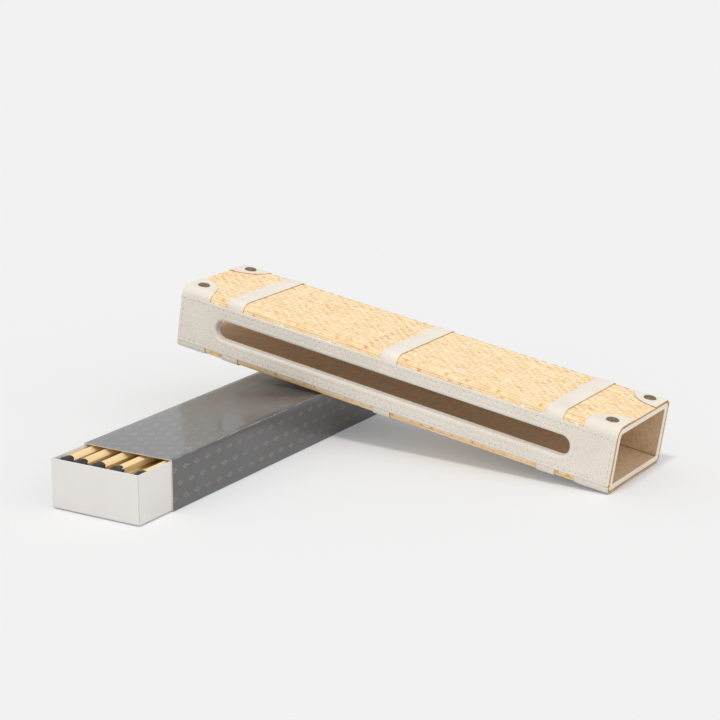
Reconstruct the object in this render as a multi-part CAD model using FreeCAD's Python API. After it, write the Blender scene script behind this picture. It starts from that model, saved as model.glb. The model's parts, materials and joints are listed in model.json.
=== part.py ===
import FreeCAD, Part
import math
import os

Vector = FreeCAD.Vector

# A slotted holder for a long matchbox, shown empty, leaning on the matchbox that belongs in it.
# All sizes are in millimetres. Ratios have names that end in share or shares.

# Matchbox sleeve, and the striking strip on its left side
sleeve_length = 290.0
sleeve_width = 61.0
sleeve_height = 30.0
sleeve_card = 0.5
sleeve_fold_radius = 0.6
striker_height = 18.0
striker_thickness = 0.2
striker_end_margin = 9.0

# Tray that slides in the sleeve
tray_card = 1.0
tray_clearance = 0.2
tray_end_inset = 0.5
tray_fold_radius = 0.6
tray_drawn = 29.5

# Matches: square sticks with a bulb of composition on the front end
stick_width = 4.2
head_nose = 3.5
head_grip = 7.8
head_coat = 0.3
neck_coat = 0.06
match_play = 0.3
match_front_gap = 1.2
match_end_gap = 6.0
loose_match_shares = (0.0, 0.19, 0.43, 0.68, 1.0)

# Layers of the holder's wall, from the channel outwards
holder_length = 300.0
channel_clearance = 0.4
lining = 0.6
board = 2.6
backing = 0.6
raffia = 0.7
trim = 0.5
panel = 1.5
end_binding = 0.6
slot_binding = 0.6

# Long edges of the holder, rounded on the outside of the boards
top_bend = 3.8
bottom_bend = 2.2

# Side panels and the long slot through each side wall
panel_seam = 0.2
bottom_reveal = 0.8
panel_corner_radius = 2.6
panel_edge_radius = 0.35
slot_end_margin = 27.5
slot_height = 12.4
slot_drop = 0.4

# Straps, corner patches and rivets
strap_width = 11.6
strap_setback = 40.0
patch_length = 21.2
patch_depth = 21.6
patch_corner_radius = 20.8
rivet_end_margin = 8.8
rivet_side_margin = 10.5
rivet_cap_diameter = 7.3
rivet_rim_height = 0.3
rivet_dome_rise = 0.6
rivet_post_diameter = 2.4
rivet_back_diameter = 6.0
rivet_back_height = 0.8
rivet_play = 0.1

# How the holder leans: the right top edge of the sleeve carries it, this far from its raised left end
lean_setback = 106.2
lean_gap = 0.3
mouth_reach = 148.5

# Extra length on every cutting tool, and the shortest edge that an outline keeps
overrun = 5.0
least_edge = 0.000001

# Distances of the layers' outer faces from the channel
lining_out = lining
board_out = lining_out + board
backing_out = board_out + backing
raffia_out = backing_out + raffia
trim_out = raffia_out + trim
panel_out = backing_out + panel

# The channel, and the holder's outer sizes; the holder's own frame has its left end at x = 0
channel_half_width = sleeve_width / 2 + channel_clearance
channel_height = sleeve_height + 2 * channel_clearance
channel_floor = trim_out
channel_ceiling = channel_floor + channel_height
holder_height = channel_ceiling + trim_out
holder_half_width = channel_half_width + max(panel_out, trim_out)
panel_top = channel_ceiling + board_out - top_bend - panel_seam
panel_bottom = channel_floor - board_out + bottom_bend + bottom_reveal
slot_length = holder_length - 2 * slot_end_margin
slot_middle = (channel_floor + channel_ceiling) / 2 - slot_drop
strap_middles = (strap_setback, holder_length / 2, holder_length - strap_setback)

# The lean: the holder's foot is on the floor and its woven underside just clears the sleeve's edge
lean_height = sleeve_height + lean_gap
lean_reach = holder_length - lean_setback
tilt = math.asin(lean_height / math.hypot(lean_reach, trim)) - math.atan2(trim, lean_reach)
lean_distance = lean_reach * math.cos(tilt) - trim * math.sin(tilt)

# Tray and match sizes that follow from the sleeve
tray_width = sleeve_width - 2 * sleeve_card - 2 * tray_clearance
tray_height = sleeve_height - 2 * sleeve_card - 2 * tray_clearance
tray_length = sleeve_length - 2 * tray_end_inset
tray_inner_width = tray_width - 2 * tray_card
tray_bottom = sleeve_card + tray_clearance
head_length = head_nose + head_grip
stick_length = tray_length - 2 * tray_card - match_front_gap - head_nose - match_end_gap
stick_corner_radius = stick_width / math.sqrt(2)
head_radius = stick_corner_radius + head_coat
neck_radius = stick_corner_radius + neck_coat
match_pitch = 2 * head_radius + match_play
match_layers = int((tray_height - tray_card) // match_pitch)
layer_matches = int(tray_inner_width // match_pitch)


def slab(low, high):
    """Box between two opposite corners."""
    size = high - low
    return Part.makeBox(size.x, size.y, size.z, low)


def rounded_face(corners):
    """Flat face through right-angled corners, each given as a point and its rounding radius."""
    arcs = []
    for index, (corner, radius) in enumerate(corners):
        back = (corners[index - 1][0] - corner).normalize()
        ahead = (corners[(index + 1) % len(corners)][0] - corner).normalize()
        middle = corner + (back + ahead) * (radius * (1 - math.sqrt(0.5)))
        arcs.append((corner + back * radius, middle, corner + ahead * radius))
    edges = []
    for index, (start, middle, end) in enumerate(arcs):
        if start.distanceToPoint(end) > least_edge:
            edges.append(Part.Arc(start, middle, end).toShape())
        following = arcs[(index + 1) % len(arcs)][0]
        if end.distanceToPoint(following) > least_edge:
            edges.append(Part.LineSegment(end, following).toShape())
    return Part.Face(Part.Wire(edges))


def wall_section(distance, start, end):
    """Solid bounded by the face at one distance outside the channel, over a stretch of the length."""
    half_width = channel_half_width + distance
    bottom = channel_floor - distance
    top = channel_ceiling + distance
    outside_boards = distance - board_out
    rounded = outside_boards >= -least_edge
    bottom_radius = bottom_bend + outside_boards if rounded else 0
    top_radius = top_bend + outside_boards if rounded else 0
    corners = [
        (Vector(start, -half_width, bottom), bottom_radius),
        (Vector(start, half_width, bottom), bottom_radius),
        (Vector(start, half_width, top), top_radius),
        (Vector(start, -half_width, top), top_radius),
    ]
    return rounded_face(corners).extrude(Vector(end - start, 0, 0))


def wall_layer(inner, outer, start, end):
    """One layer of the holder's wall, as a tube along the channel."""
    return wall_section(outer, start, end).cut(wall_section(inner, start - overrun, end + overrun))


def level_zone(bottom, top):
    """Slab right across the holder between two levels."""
    reach = holder_half_width + overrun
    return slab(Vector(-overrun, -reach, bottom), Vector(holder_length + overrun, reach, top))


def side_zone(side):
    """The half of the holder on one side: -1 is the front, 1 the rear."""
    reach = side * (holder_half_width + overrun)
    low = Vector(-overrun, min(0, reach), -overrun)
    high = Vector(holder_length + overrun, max(0, reach), holder_height + overrun)
    return slab(low, high)


def upper_zone():
    """Everything above the side panels."""
    return level_zone(panel_top, holder_height + overrun)


def lower_zone():
    """Everything below the side panels."""
    return level_zone(-overrun, panel_bottom)


def slot_prism(side, inner, outer, grow):
    """The long slot through one side wall, between two distances from the channel, made larger by grow."""
    half_length = slot_length / 2 + grow
    half_height = slot_height / 2 + grow
    middle = holder_length / 2
    near = side * (channel_half_width + inner)
    far = side * (channel_half_width + outer)
    corners = [
        (Vector(middle - half_length, near, slot_middle - half_height), half_height),
        (Vector(middle + half_length, near, slot_middle - half_height), half_height),
        (Vector(middle + half_length, near, slot_middle + half_height), half_height),
        (Vector(middle - half_length, near, slot_middle + half_height), half_height),
    ]
    return rounded_face(corners).extrude(Vector(0, far - near, 0))


def slot_cut(side):
    """Cutter for the slot in the layers that the slot's binding covers."""
    return slot_prism(side, -overrun, panel_out + overrun, slot_binding)


def rivet_places():
    """Each rivet's point on the outer face, and whether it is on the upper face."""
    places = []
    for level, upper in ((holder_height, True), (0, False)):
        for along in (rivet_end_margin, holder_length - rivet_end_margin):
            for side in (-1, 1):
                across = side * (holder_half_width - rivet_side_margin)
                places.append((Vector(along, across, level), upper))
    return places


def on_rivet_places(shape):
    """Copies of a shape that points up at the origin, one on each rivet place."""
    copies = []
    for point, upper in rivet_places():
        copy = shape.copy()
        if not upper:
            copy.rotate(Vector(0, 0, 0), Vector(1, 0, 0), 180)
        copy.translate(point)
        copies.append(copy)
    return copies


def rivet_holes():
    """Cutters for the rivets' posts and for the seats of their backs, as one compound."""
    depth = trim_out - lining_out
    bore = Part.makeCylinder(rivet_post_diameter / 2 + rivet_play, depth + overrun, Vector(0, 0, -depth))
    seat_height = rivet_back_height + rivet_play
    seat = Part.makeCylinder(rivet_back_diameter / 2 + rivet_play, seat_height, Vector(0, 0, -depth))
    return Part.Compound(on_rivet_places(bore.fuse(seat)))


def boards(holes):
    """The four stiff boards glued into the holder's tube."""
    tube = wall_layer(lining_out, board_out, end_binding, holder_length - end_binding)
    inner_floor = channel_floor - lining_out
    inner_ceiling = channel_ceiling + lining_out
    sides = tube.common(level_zone(inner_floor, inner_ceiling))
    return {
        "top_board": tube.common(level_zone(inner_ceiling, holder_height)).cut(holes),
        "bottom_board": tube.common(level_zone(0, inner_floor)).cut(holes),
        "front_board": sides.common(side_zone(-1)).cut(slot_cut(-1)),
        "rear_board": sides.common(side_zone(1)).cut(slot_cut(1)),
    }


def linings():
    """The lining of the channel: a sheet on its floor, on its ceiling and on each side."""
    tube = wall_layer(0, lining_out, end_binding, holder_length - end_binding)
    sides = tube.common(level_zone(channel_floor, channel_ceiling))
    return {
        "floor_lining": tube.common(level_zone(0, channel_floor)),
        "ceiling_lining": tube.common(level_zone(channel_ceiling, holder_height)),
        "front_lining": sides.common(side_zone(-1)).cut(slot_cut(-1)),
        "rear_lining": sides.common(side_zone(1)).cut(slot_cut(1)),
    }


def end_bindings():
    """The bindings that cover the ends of the boards and the lining round each mouth."""
    right_start = holder_length - end_binding
    return {
        "left_end_binding": wall_layer(0, board_out, 0, end_binding),
        "right_end_binding": wall_layer(0, board_out, right_start, holder_length),
    }


def woven_cover(holes):
    """The backing glued round the boards, and the woven raffia on its upper and lower faces."""
    wrap = wall_layer(board_out, backing_out, 0, holder_length).cut(holes)
    weave = wall_layer(backing_out, raffia_out, 0, holder_length).cut(holes)
    return {
        "backing_wrap": wrap.cut(slot_cut(-1)).cut(slot_cut(1)),
        "raffia_top": weave.common(upper_zone()),
        "raffia_bottom": weave.common(lower_zone()),
    }


def straps():
    """Three leather straps across the upper face and three across the lower one."""
    nodes = {}
    for name, middle in zip(("left", "middle", "right"), strap_middles):
        band = wall_layer(raffia_out, trim_out, middle - strap_width / 2, middle + strap_width / 2)
        nodes[f"top_strap_{name}"] = band.common(upper_zone())
        nodes[f"bottom_strap_{name}"] = band.common(lower_zone())
    return nodes


def patch_prism(at_right, side):
    """Upright prism on a corner patch's outline, a tab with one rounded corner."""
    end = holder_length + overrun if at_right else -overrun
    inner_end = holder_length - patch_length if at_right else patch_length
    outer_side = side * (holder_half_width + overrun)
    inner_side = side * (holder_half_width - patch_depth)
    corners = [
        (Vector(end, outer_side, -overrun), 0),
        (Vector(inner_end, outer_side, -overrun), 0),
        (Vector(inner_end, inner_side, -overrun), patch_corner_radius),
        (Vector(end, inner_side, -overrun), 0),
    ]
    return rounded_face(corners).extrude(Vector(0, 0, holder_height + 2 * overrun))


def corner_patches(holes):
    """Leather patches on the eight corners, wrapped over the long edges."""
    skin = wall_layer(raffia_out, trim_out, 0, holder_length).cut(holes)
    levels = {"top": skin.common(upper_zone()), "bottom": skin.common(lower_zone())}
    nodes = {}
    for level, sheet in levels.items():
        for row, side in (("front", -1), ("rear", 1)):
            for end, at_right in (("left", False), ("right", True)):
                nodes[f"{level}_patch_{row}_{end}"] = sheet.common(patch_prism(at_right, side))
    return nodes


def rivets():
    """Domed caps with their posts, and the flat backs that hold the posts under the lining."""
    radius = rivet_cap_diameter / 2
    cap_height = rivet_rim_height + rivet_dome_rise
    dome_radius = (radius**2 + rivet_dome_rise**2) / (2 * rivet_dome_rise)
    dome_middle = cap_height - dome_radius + math.sqrt(dome_radius**2 - (radius / 2) ** 2)
    foot = Vector(0, 0, 0)
    edge = Vector(radius, 0, 0)
    rim = Vector(radius, 0, rivet_rim_height)
    peak = Vector(0, 0, cap_height)
    outline = [
        Part.LineSegment(foot, edge).toShape(),
        Part.LineSegment(edge, rim).toShape(),
        Part.Arc(rim, Vector(radius / 2, 0, dome_middle), peak).toShape(),
        Part.LineSegment(peak, foot).toShape(),
    ]
    cap = Part.Face(Part.Wire(outline)).revolve(foot, Vector(0, 0, 1), 360)
    depth = trim_out - lining_out
    post = Part.makeCylinder(rivet_post_diameter / 2, depth, Vector(0, 0, -depth))
    ring = Part.makeCylinder(rivet_back_diameter / 2, rivet_back_height, Vector(0, 0, -depth))
    bore = Part.makeCylinder(rivet_post_diameter / 2 + rivet_play, rivet_back_height, Vector(0, 0, -depth))
    return {
        "rivet_caps": Part.Compound(on_rivet_places(cap.fuse(post).removeSplitter())),
        "rivet_backs": Part.Compound(on_rivet_places(ring.cut(bore))),
    }


def outer_edges(shape, level):
    """Edges of a side panel that lie in its outer face."""
    chosen = []
    for edge in shape.Edges:
        across = [abs(vertex.Point.y) for vertex in edge.Vertexes]
        if min(across) > level - least_edge:
            chosen.append(edge)
    return chosen


def side_panels():
    """A leather panel on each side, with the slot's opening and softened outer edges."""
    inner = channel_half_width + backing_out
    outer = channel_half_width + panel_out
    nodes = {}
    for row, side in (("front", -1), ("rear", 1)):
        corners = [
            (Vector(0, side * inner, panel_bottom), panel_corner_radius),
            (Vector(holder_length, side * inner, panel_bottom), panel_corner_radius),
            (Vector(holder_length, side * inner, panel_top), panel_edge_radius),
            (Vector(0, side * inner, panel_top), panel_edge_radius),
        ]
        sheet = rounded_face(corners).extrude(Vector(0, side * (outer - inner), 0))
        sheet = sheet.cut(slot_prism(side, backing_out - overrun, panel_out + overrun, 0))
        softened = sheet.makeFillet(min(panel_edge_radius, panel / 2), outer_edges(sheet, outer))
        nodes[f"{row}_side_panel"] = softened
    return nodes


def slot_bindings():
    """Leather bands that cover the cut edges of the wall inside each slot, behind the panel."""
    nodes = {}
    for row, side in (("front", -1), ("rear", 1)):
        band = slot_prism(side, 0, backing_out, slot_binding)
        opening = slot_prism(side, -overrun, backing_out + overrun, 0)
        nodes[f"{row}_slot_binding"] = band.cut(opening)
    return nodes


def holder_nodes():
    """All pieces of the holder, in the holder's own level frame."""
    holes = rivet_holes()
    nodes = {}
    for pieces in (boards(holes), linings(), end_bindings(), woven_cover(holes), straps()):
        nodes.update(pieces)
    for pieces in (corner_patches(holes), rivets(), side_panels(), slot_bindings()):
        nodes.update(pieces)
    return nodes


def card_section(start, end, low, high, radius):
    """Upright bar along y with rounded long edges, between two corners in x and z."""
    corners = [
        (Vector(low.x, start, low.z), radius),
        (Vector(high.x, start, low.z), radius),
        (Vector(high.x, start, high.z), radius),
        (Vector(low.x, start, high.z), radius),
    ]
    return rounded_face(corners).extrude(Vector(0, end - start, 0))


def sleeve():
    """The folded card sleeve, open at both ends, with its mouth at y = 0 and its right side at x = 0."""
    low = Vector(-sleeve_width, 0, 0)
    high = Vector(0, 0, sleeve_height)
    card = Vector(sleeve_card, 0, sleeve_card)
    inner_radius = max(sleeve_fold_radius - sleeve_card, 0)
    outside = card_section(0, sleeve_length, low, high, sleeve_fold_radius)
    inside = card_section(-overrun, sleeve_length + overrun, low + card, high - card, inner_radius)
    return outside.cut(inside)


def striker():
    """The striking strip along the middle of the sleeve's left side."""
    middle = sleeve_height / 2
    low = Vector(-sleeve_width - striker_thickness, striker_end_margin, middle - striker_height / 2)
    high = Vector(-sleeve_width, sleeve_length - striker_end_margin, middle + striker_height / 2)
    return slab(low, high)


def tray():
    """The folded card tray, drawn part of the way out of the sleeve."""
    side_gap = sleeve_card + tray_clearance
    front = -tray_drawn
    low = Vector(-sleeve_width + side_gap, 0, tray_bottom)
    high = Vector(-side_gap, 0, tray_bottom + tray_height)
    outside = card_section(front, front + tray_length, low, high, tray_fold_radius)
    rim = tray_bottom + tray_height - tray_fold_radius
    body = card_section(front, front + tray_length, low, high, 0).common(
        slab(Vector(low.x, front, rim), Vector(high.x, front + tray_length, high.z))
    )
    hollow = slab(
        Vector(low.x + tray_card, front + tray_card, tray_bottom + tray_card),
        Vector(high.x - tray_card, front + tray_length - tray_card, high.z + overrun),
    )
    return outside.fuse(body).cut(hollow).removeSplitter()


def match_places():
    """Where each match's tip lies: full layers below, and a few loose matches on top."""
    left = -sleeve_width + sleeve_card + tray_clearance + tray_card
    tip = -tray_drawn + tray_card + match_front_gap
    floor = tray_bottom + tray_card + match_play
    places = []
    for layer in range(match_layers - 1):
        level = floor + head_radius + layer * match_pitch
        for index in range(layer_matches):
            across = left + tray_inner_width * (index + 0.5) / layer_matches
            places.append(Vector(across, tip, level))
    level = floor + head_radius + (match_layers - 1) * match_pitch
    margin = head_radius + match_play
    for share in loose_match_shares:
        across = left + margin + (tray_inner_width - 2 * margin) * share
        places.append(Vector(across, tip, level))
    return places


def match_solids():
    """One stick and one head with its tip at the origin, lying along y."""
    half = stick_width / 2
    stick = slab(Vector(-half, head_nose, -half), Vector(half, head_nose + stick_length, half))
    nose = head_radius * (1 - math.sqrt(0.5))
    tip = Vector(0, 0, 0)
    shoulder = Vector(head_radius, head_radius, 0)
    neck = Vector(neck_radius, head_length, 0)
    root = Vector(0, head_length, 0)
    outline = [
        Part.Arc(tip, Vector(head_radius * math.sqrt(0.5), nose, 0), shoulder).toShape(),
        Part.LineSegment(shoulder, neck).toShape(),
        Part.LineSegment(neck, root).toShape(),
        Part.LineSegment(root, tip).toShape(),
    ]
    head = Part.Face(Part.Wire(outline)).revolve(tip, Vector(0, 1, 0), 360).cut(stick)
    return stick, head


def matches():
    """All the match sticks, and all their heads."""
    stick, head = match_solids()
    return {
        "match_sticks": Part.Compound([stick.translated(point) for point in match_places()]),
        "match_heads": Part.Compound([head.translated(point) for point in match_places()]),
    }


def matchbox_nodes():
    """All pieces of the matchbox, with the sleeve's mouth and its right side as the origin."""
    nodes = {"matchbox_sleeve": sleeve(), "striker_strip": striker(), "match_tray": tray()}
    nodes.update(matches())
    return nodes


def holder_placement():
    """Stands the holder's foot on the floor at the origin and tilts its left end up."""
    turn = FreeCAD.Rotation(Vector(0, 1, 0), math.degrees(tilt))
    return FreeCAD.Placement(turn.multVec(Vector(-holder_length, 0, 0)), turn)


def matchbox_placement():
    """Lays the matchbox under the holder, square to it, with its mouth towards the front."""
    return FreeCAD.Placement(Vector(-lean_distance, -holder_half_width - mouth_reach, 0), FreeCAD.Rotation())


def assembly_origin():
    """Middle of the floor area that the whole set covers."""
    left = -holder_length * math.cos(tilt)
    right = holder_height * math.sin(tilt)
    mouth = -holder_half_width - mouth_reach
    return Vector((left + right) / 2, mouth + (sleeve_length - tray_drawn) / 2, 0)


def placed(shape, placement):
    """Copy of a shape moved from its own frame to the frame of the whole set."""
    moved = shape.copy()
    moved.Placement = placement.multiply(moved.Placement)
    moved.translate(-assembly_origin())
    return moved


def main():
    """Builds every piece and writes one file for each."""
    os.makedirs("parts", exist_ok=True)
    groups = ((holder_nodes(), holder_placement()), (matchbox_nodes(), matchbox_placement()))
    for nodes, placement in groups:
        for name, shape in nodes.items():
            placed(shape, placement).exportStep(os.path.join("parts", f"{name}.step"))


main()
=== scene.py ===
"""Dresses a raffia and leather matchbox holder, and the long matchbox that it leans on.

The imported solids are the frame. Each class makes one sub-assembly around them and keeps its
sizes as fields.
"""
from __future__ import annotations

import json
import logging
import math
import random
from collections.abc import Callable, Iterable, Sequence
from dataclasses import dataclass
from enum import Enum
from typing import Any

import bmesh
import bpy
from bmesh.types import BMEdge, BMesh, BMFace, BMVert
from mathutils import Matrix, Vector, noise

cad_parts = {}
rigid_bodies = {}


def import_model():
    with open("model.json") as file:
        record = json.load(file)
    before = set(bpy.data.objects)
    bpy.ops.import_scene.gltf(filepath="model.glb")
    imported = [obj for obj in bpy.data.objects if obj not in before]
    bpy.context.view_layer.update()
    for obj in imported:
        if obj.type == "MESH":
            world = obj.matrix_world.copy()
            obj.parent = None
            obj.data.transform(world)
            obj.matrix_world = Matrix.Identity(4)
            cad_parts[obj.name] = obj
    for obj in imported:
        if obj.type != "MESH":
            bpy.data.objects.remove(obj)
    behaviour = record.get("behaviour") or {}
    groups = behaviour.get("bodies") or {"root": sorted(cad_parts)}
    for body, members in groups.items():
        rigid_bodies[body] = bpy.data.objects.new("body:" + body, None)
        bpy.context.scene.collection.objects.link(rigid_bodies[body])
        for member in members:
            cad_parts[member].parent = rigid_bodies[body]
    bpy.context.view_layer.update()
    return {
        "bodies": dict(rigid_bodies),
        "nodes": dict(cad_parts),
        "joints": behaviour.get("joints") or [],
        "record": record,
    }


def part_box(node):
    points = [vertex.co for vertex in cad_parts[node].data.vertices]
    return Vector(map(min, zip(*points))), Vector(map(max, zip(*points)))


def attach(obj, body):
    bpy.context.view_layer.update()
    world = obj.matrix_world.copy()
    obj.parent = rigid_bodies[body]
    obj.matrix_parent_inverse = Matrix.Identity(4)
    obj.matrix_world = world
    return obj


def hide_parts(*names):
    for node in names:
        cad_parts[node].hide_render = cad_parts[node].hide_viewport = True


LOG = logging.getLogger("matchbox_holder")
MM = 0.001
SAME_POINT = 0.001 * MM
SAME_LEVEL = 0.01 * MM
# where the middle of a rounded edge lies, as a share of its radius
EASED = 0.3
# an edge longer than this share of a shape runs all along it
ALL_ALONG = 0.9
# edges that turn by more degrees than this stay sharp, unless a piece says otherwise
SHARP = 40.0
Colour = tuple[float, float, float, float]
Material = bpy.types.Material
Piece = bpy.types.Object
Socket = bpy.types.NodeSocket
Tree = bpy.types.NodeTree
Tone = tuple[int, int, int]


class Body(Enum):
    """The bodies that a piece can ride on."""

    HOLDER = "holder"
    MATCHBOX = "matchbox"
    TRAY = "tray"


class Way(Enum):
    """A part of the holder that looks one way or the other along an axis; the value is the sign."""

    @property
    def word(self) -> str:
        """Gives the part's name as the CAD nodes spell it."""
        return self.name.lower()


class Face(Way):
    """The two broad faces of the holder."""

    TOP = 1
    BOTTOM = -1


class Side(Way):
    """The two long sides of the holder."""

    FRONT = -1
    REAR = 1


class End(Way):
    """The two open ends of the holder."""

    LEFT = -1
    RIGHT = 1


def seen(red: int, green: int, blue: int) -> Colour:
    """Turns a colour as a screen shows it into the linear one that shaders take.

    Args:
        red: red, 0 to 255
        green: green, 0 to 255
        blue: blue, 0 to 255

    Returns:
        The linear colour, with an alpha of one.
    """

    def linear(level: int) -> float:
        """Undoes the screen's own curve for one channel."""
        share = level / 255
        return share / 12.92 if share <= 0.04045 else ((share + 0.055) / 1.055) ** 2.4

    return (linear(red), linear(green), linear(blue), 1.0)


def box_of(points: Iterable[Vector]) -> tuple[Vector, Vector]:
    """Finds the box round some points.

    Args:
        points: the points, at least one

    Returns:
        The lowest and the highest corner.
    """
    columns = list(zip(*points))
    return Vector([min(c) for c in columns]), Vector([max(c) for c in columns])


def solids_of(node: Piece) -> list[list[Vector]]:
    """Splits a CAD node into its separate solids, through a merged copy of its mesh.

    Args:
        node: the CAD node's object

    Returns:
        The points of each solid, in the order in which the node holds them.
    """
    bm = bmesh.new()
    bm.from_mesh(node.data)
    bmesh.ops.remove_doubles(bm, verts=bm.verts, dist=SAME_POINT)
    groups = []
    for vert in bm.verts:
        vert.tag = False
    for first in bm.verts:
        if first.tag:
            continue
        first.tag = True
        todo, group = [first], []
        while todo:
            vert = todo.pop()
            group.append(vert.co.copy())
            for edge in vert.link_edges:
                other = edge.other_vert(vert)
                if not other.tag:
                    other.tag = True
                    todo.append(other)
        groups.append(group)
    bm.free()
    return groups


def add_piece(
    bm: BMesh,
    name: str,
    body: Body,
    finishes: Sequence[Material],
    stands_for: Sequence[str] = (),
    crease: float = SHARP,
) -> Piece:
    """Makes a finished piece out of a bmesh, which is freed.

    Args:
        bm: the shape, in the row frame
        name: the piece's name
        body: the body that it rides on
        finishes: its materials, in the order of the faces' indices
        stands_for: the CAD nodes that it replaces
        crease: edges sharper than this many degrees stay sharp

    Returns:
        The new object, at the origin.
    """
    bmesh.ops.recalc_face_normals(bm, faces=bm.faces)
    mesh = bpy.data.meshes.new(name)
    bm.to_mesh(mesh)
    bm.free()
    for finish in finishes:
        mesh.materials.append(finish)
    mesh.shade_smooth()
    mesh.set_sharp_from_angle(angle=math.radians(crease))
    piece = bpy.data.objects.new(name, mesh)
    bpy.context.scene.collection.objects.link(piece)
    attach(piece, body.value)
    if stands_for:
        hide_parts(*stands_for)
    LOG.info("%s: %d faces on %s", name, len(mesh.polygons), body.value)
    return piece


def all_along(bm: BMesh, length: float) -> list[BMEdge]:
    """Lists the edges that run all along a shape of the given length."""
    return [edge for edge in bm.edges if edge.calc_length() > length * ALL_ALONG]


def divide_runs(bm: BMesh, length: float, cuts: int) -> None:
    """Cuts the edges that run all along a shape of the given length, so that it can be bent."""
    bmesh.ops.subdivide_edges(bm, edges=all_along(bm, length), cuts=cuts, use_grid_fill=True)


def rounded_loop(
    low: Sequence[float], high: Sequence[float], radii: Sequence[float], steps: tuple[int, int, int]
) -> list[Vector]:
    """Lays points round a rectangle with round corners, anticlockwise from its lower right corner.

    Args:
        low: lowest corner
        high: highest corner
        radii: corner radii at lower right, upper right, upper left and lower left
        steps: steps round a corner, along a horizontal side and along a vertical side

    Returns:
        The points, the same number and order for the same steps.
    """
    bend, flat, upright = steps
    corners = (
        (high[0], low[1], -1, 1, -90.0, upright),
        (high[0], high[1], -1, -1, 0.0, flat),
        (low[0], high[1], 1, -1, 90.0, upright),
        (low[0], low[1], 1, 1, 180.0, flat),
    )
    arcs = []
    for (x, y, towards_x, towards_y, start, _), radius in zip(corners, radii):
        centre = Vector((x + towards_x * radius, y + towards_y * radius))
        turns = [math.radians(start + 90.0 * k / bend) for k in range(bend + 1)]
        arcs.append([centre + radius * Vector((math.cos(t), math.sin(t))) for t in turns])
    points = []
    for index, arc in enumerate(arcs):
        points.extend(arc)
        after = arcs[(index + 1) % 4][0]
        count = corners[index][5]
        points.extend(arc[-1].lerp(after, k / count) for k in range(1, count))
    return points


def walk(loop: Sequence[Vector], pitch: float) -> list[tuple[Vector, Vector]]:
    """Steps round a closed line at an even pitch.

    Args:
        loop: the line's points
        pitch: the wanted step, which is adjusted so that the steps close

    Returns:
        Each step's point and its direction along the line.
    """
    closed = list(loop) + [loop[0]]
    lengths = [(b - a).length for a, b in zip(closed, closed[1:])]
    count = round(sum(lengths) / pitch)
    step = sum(lengths) / count
    found, passed, index = [], 0.0, 0
    for k in range(count):
        while passed + lengths[index] < k * step:
            passed += lengths[index]
            index += 1
        start, stop = closed[index], closed[index + 1]
        spot = start.lerp(stop, (k * step - passed) / lengths[index])
        found.append((spot, (stop - start).normalized()))
    return found


class RingLoft:
    """Grows a shell ring by ring: each one is extruded from the last one and moved to its own line."""

    def __init__(self, points: Sequence[Vector]) -> None:
        """Starts the shell with its first ring."""
        self.bm = bmesh.new()
        made = bmesh.ops.create_circle(self.bm, segments=len(points), radius=1.0)
        self.ring: list[BMVert] = made["verts"]
        self._place(points)
        self.first = self._edges()

    def _place(self, points: Sequence[Vector]) -> None:
        """Moves the newest ring to its points."""
        for vert, point in zip(self.ring, points, strict=True):
            vert.co = point

    def _edges(self) -> list[BMEdge]:
        """Lists the edges of the newest ring."""
        return [self.bm.edges.get(pair) for pair in zip(self.ring, self.ring[1:] + self.ring[:1])]

    def grow(self, points: Sequence[Vector], finish: int = 0) -> None:
        """Adds a ring.

        Args:
            points: the new ring's points
            finish: material index of the new faces
        """
        made = bmesh.ops.extrude_edge_only(self.bm, edges=self._edges())["geom"]
        fresh = {item for item in made if isinstance(item, BMVert)}
        for face in made:
            if isinstance(face, BMFace):
                face.material_index = finish
        self.ring = [
            next(edge.other_vert(vert) for edge in vert.link_edges if edge.other_vert(vert) in fresh)
            for vert in self.ring
        ]
        self._place(points)

    @classmethod
    def through(cls, rings: Sequence[Sequence[Vector]]) -> RingLoft:
        """Grows a shell through a row of rings."""
        loft = cls(rings[0])
        for points in rings[1:]:
            loft.grow(points)
        return loft

    def close(self, finish: int = 0) -> BMesh:
        """Joins the last ring to the first one.

        Args:
            finish: material index of the new faces

        Returns:
            The closed shape.
        """
        made = bmesh.ops.bridge_loops(self.bm, edges=self.first + self._edges())["faces"]
        for face in made:
            face.material_index = finish
        return self.bm

    def cap(self) -> BMesh:
        """Closes the first and the last ring with a face each and gives the closed shape."""
        for edges in (self.first, self._edges()):
            bmesh.ops.contextual_create(self.bm, geom=edges)
        return self.bm


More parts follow.
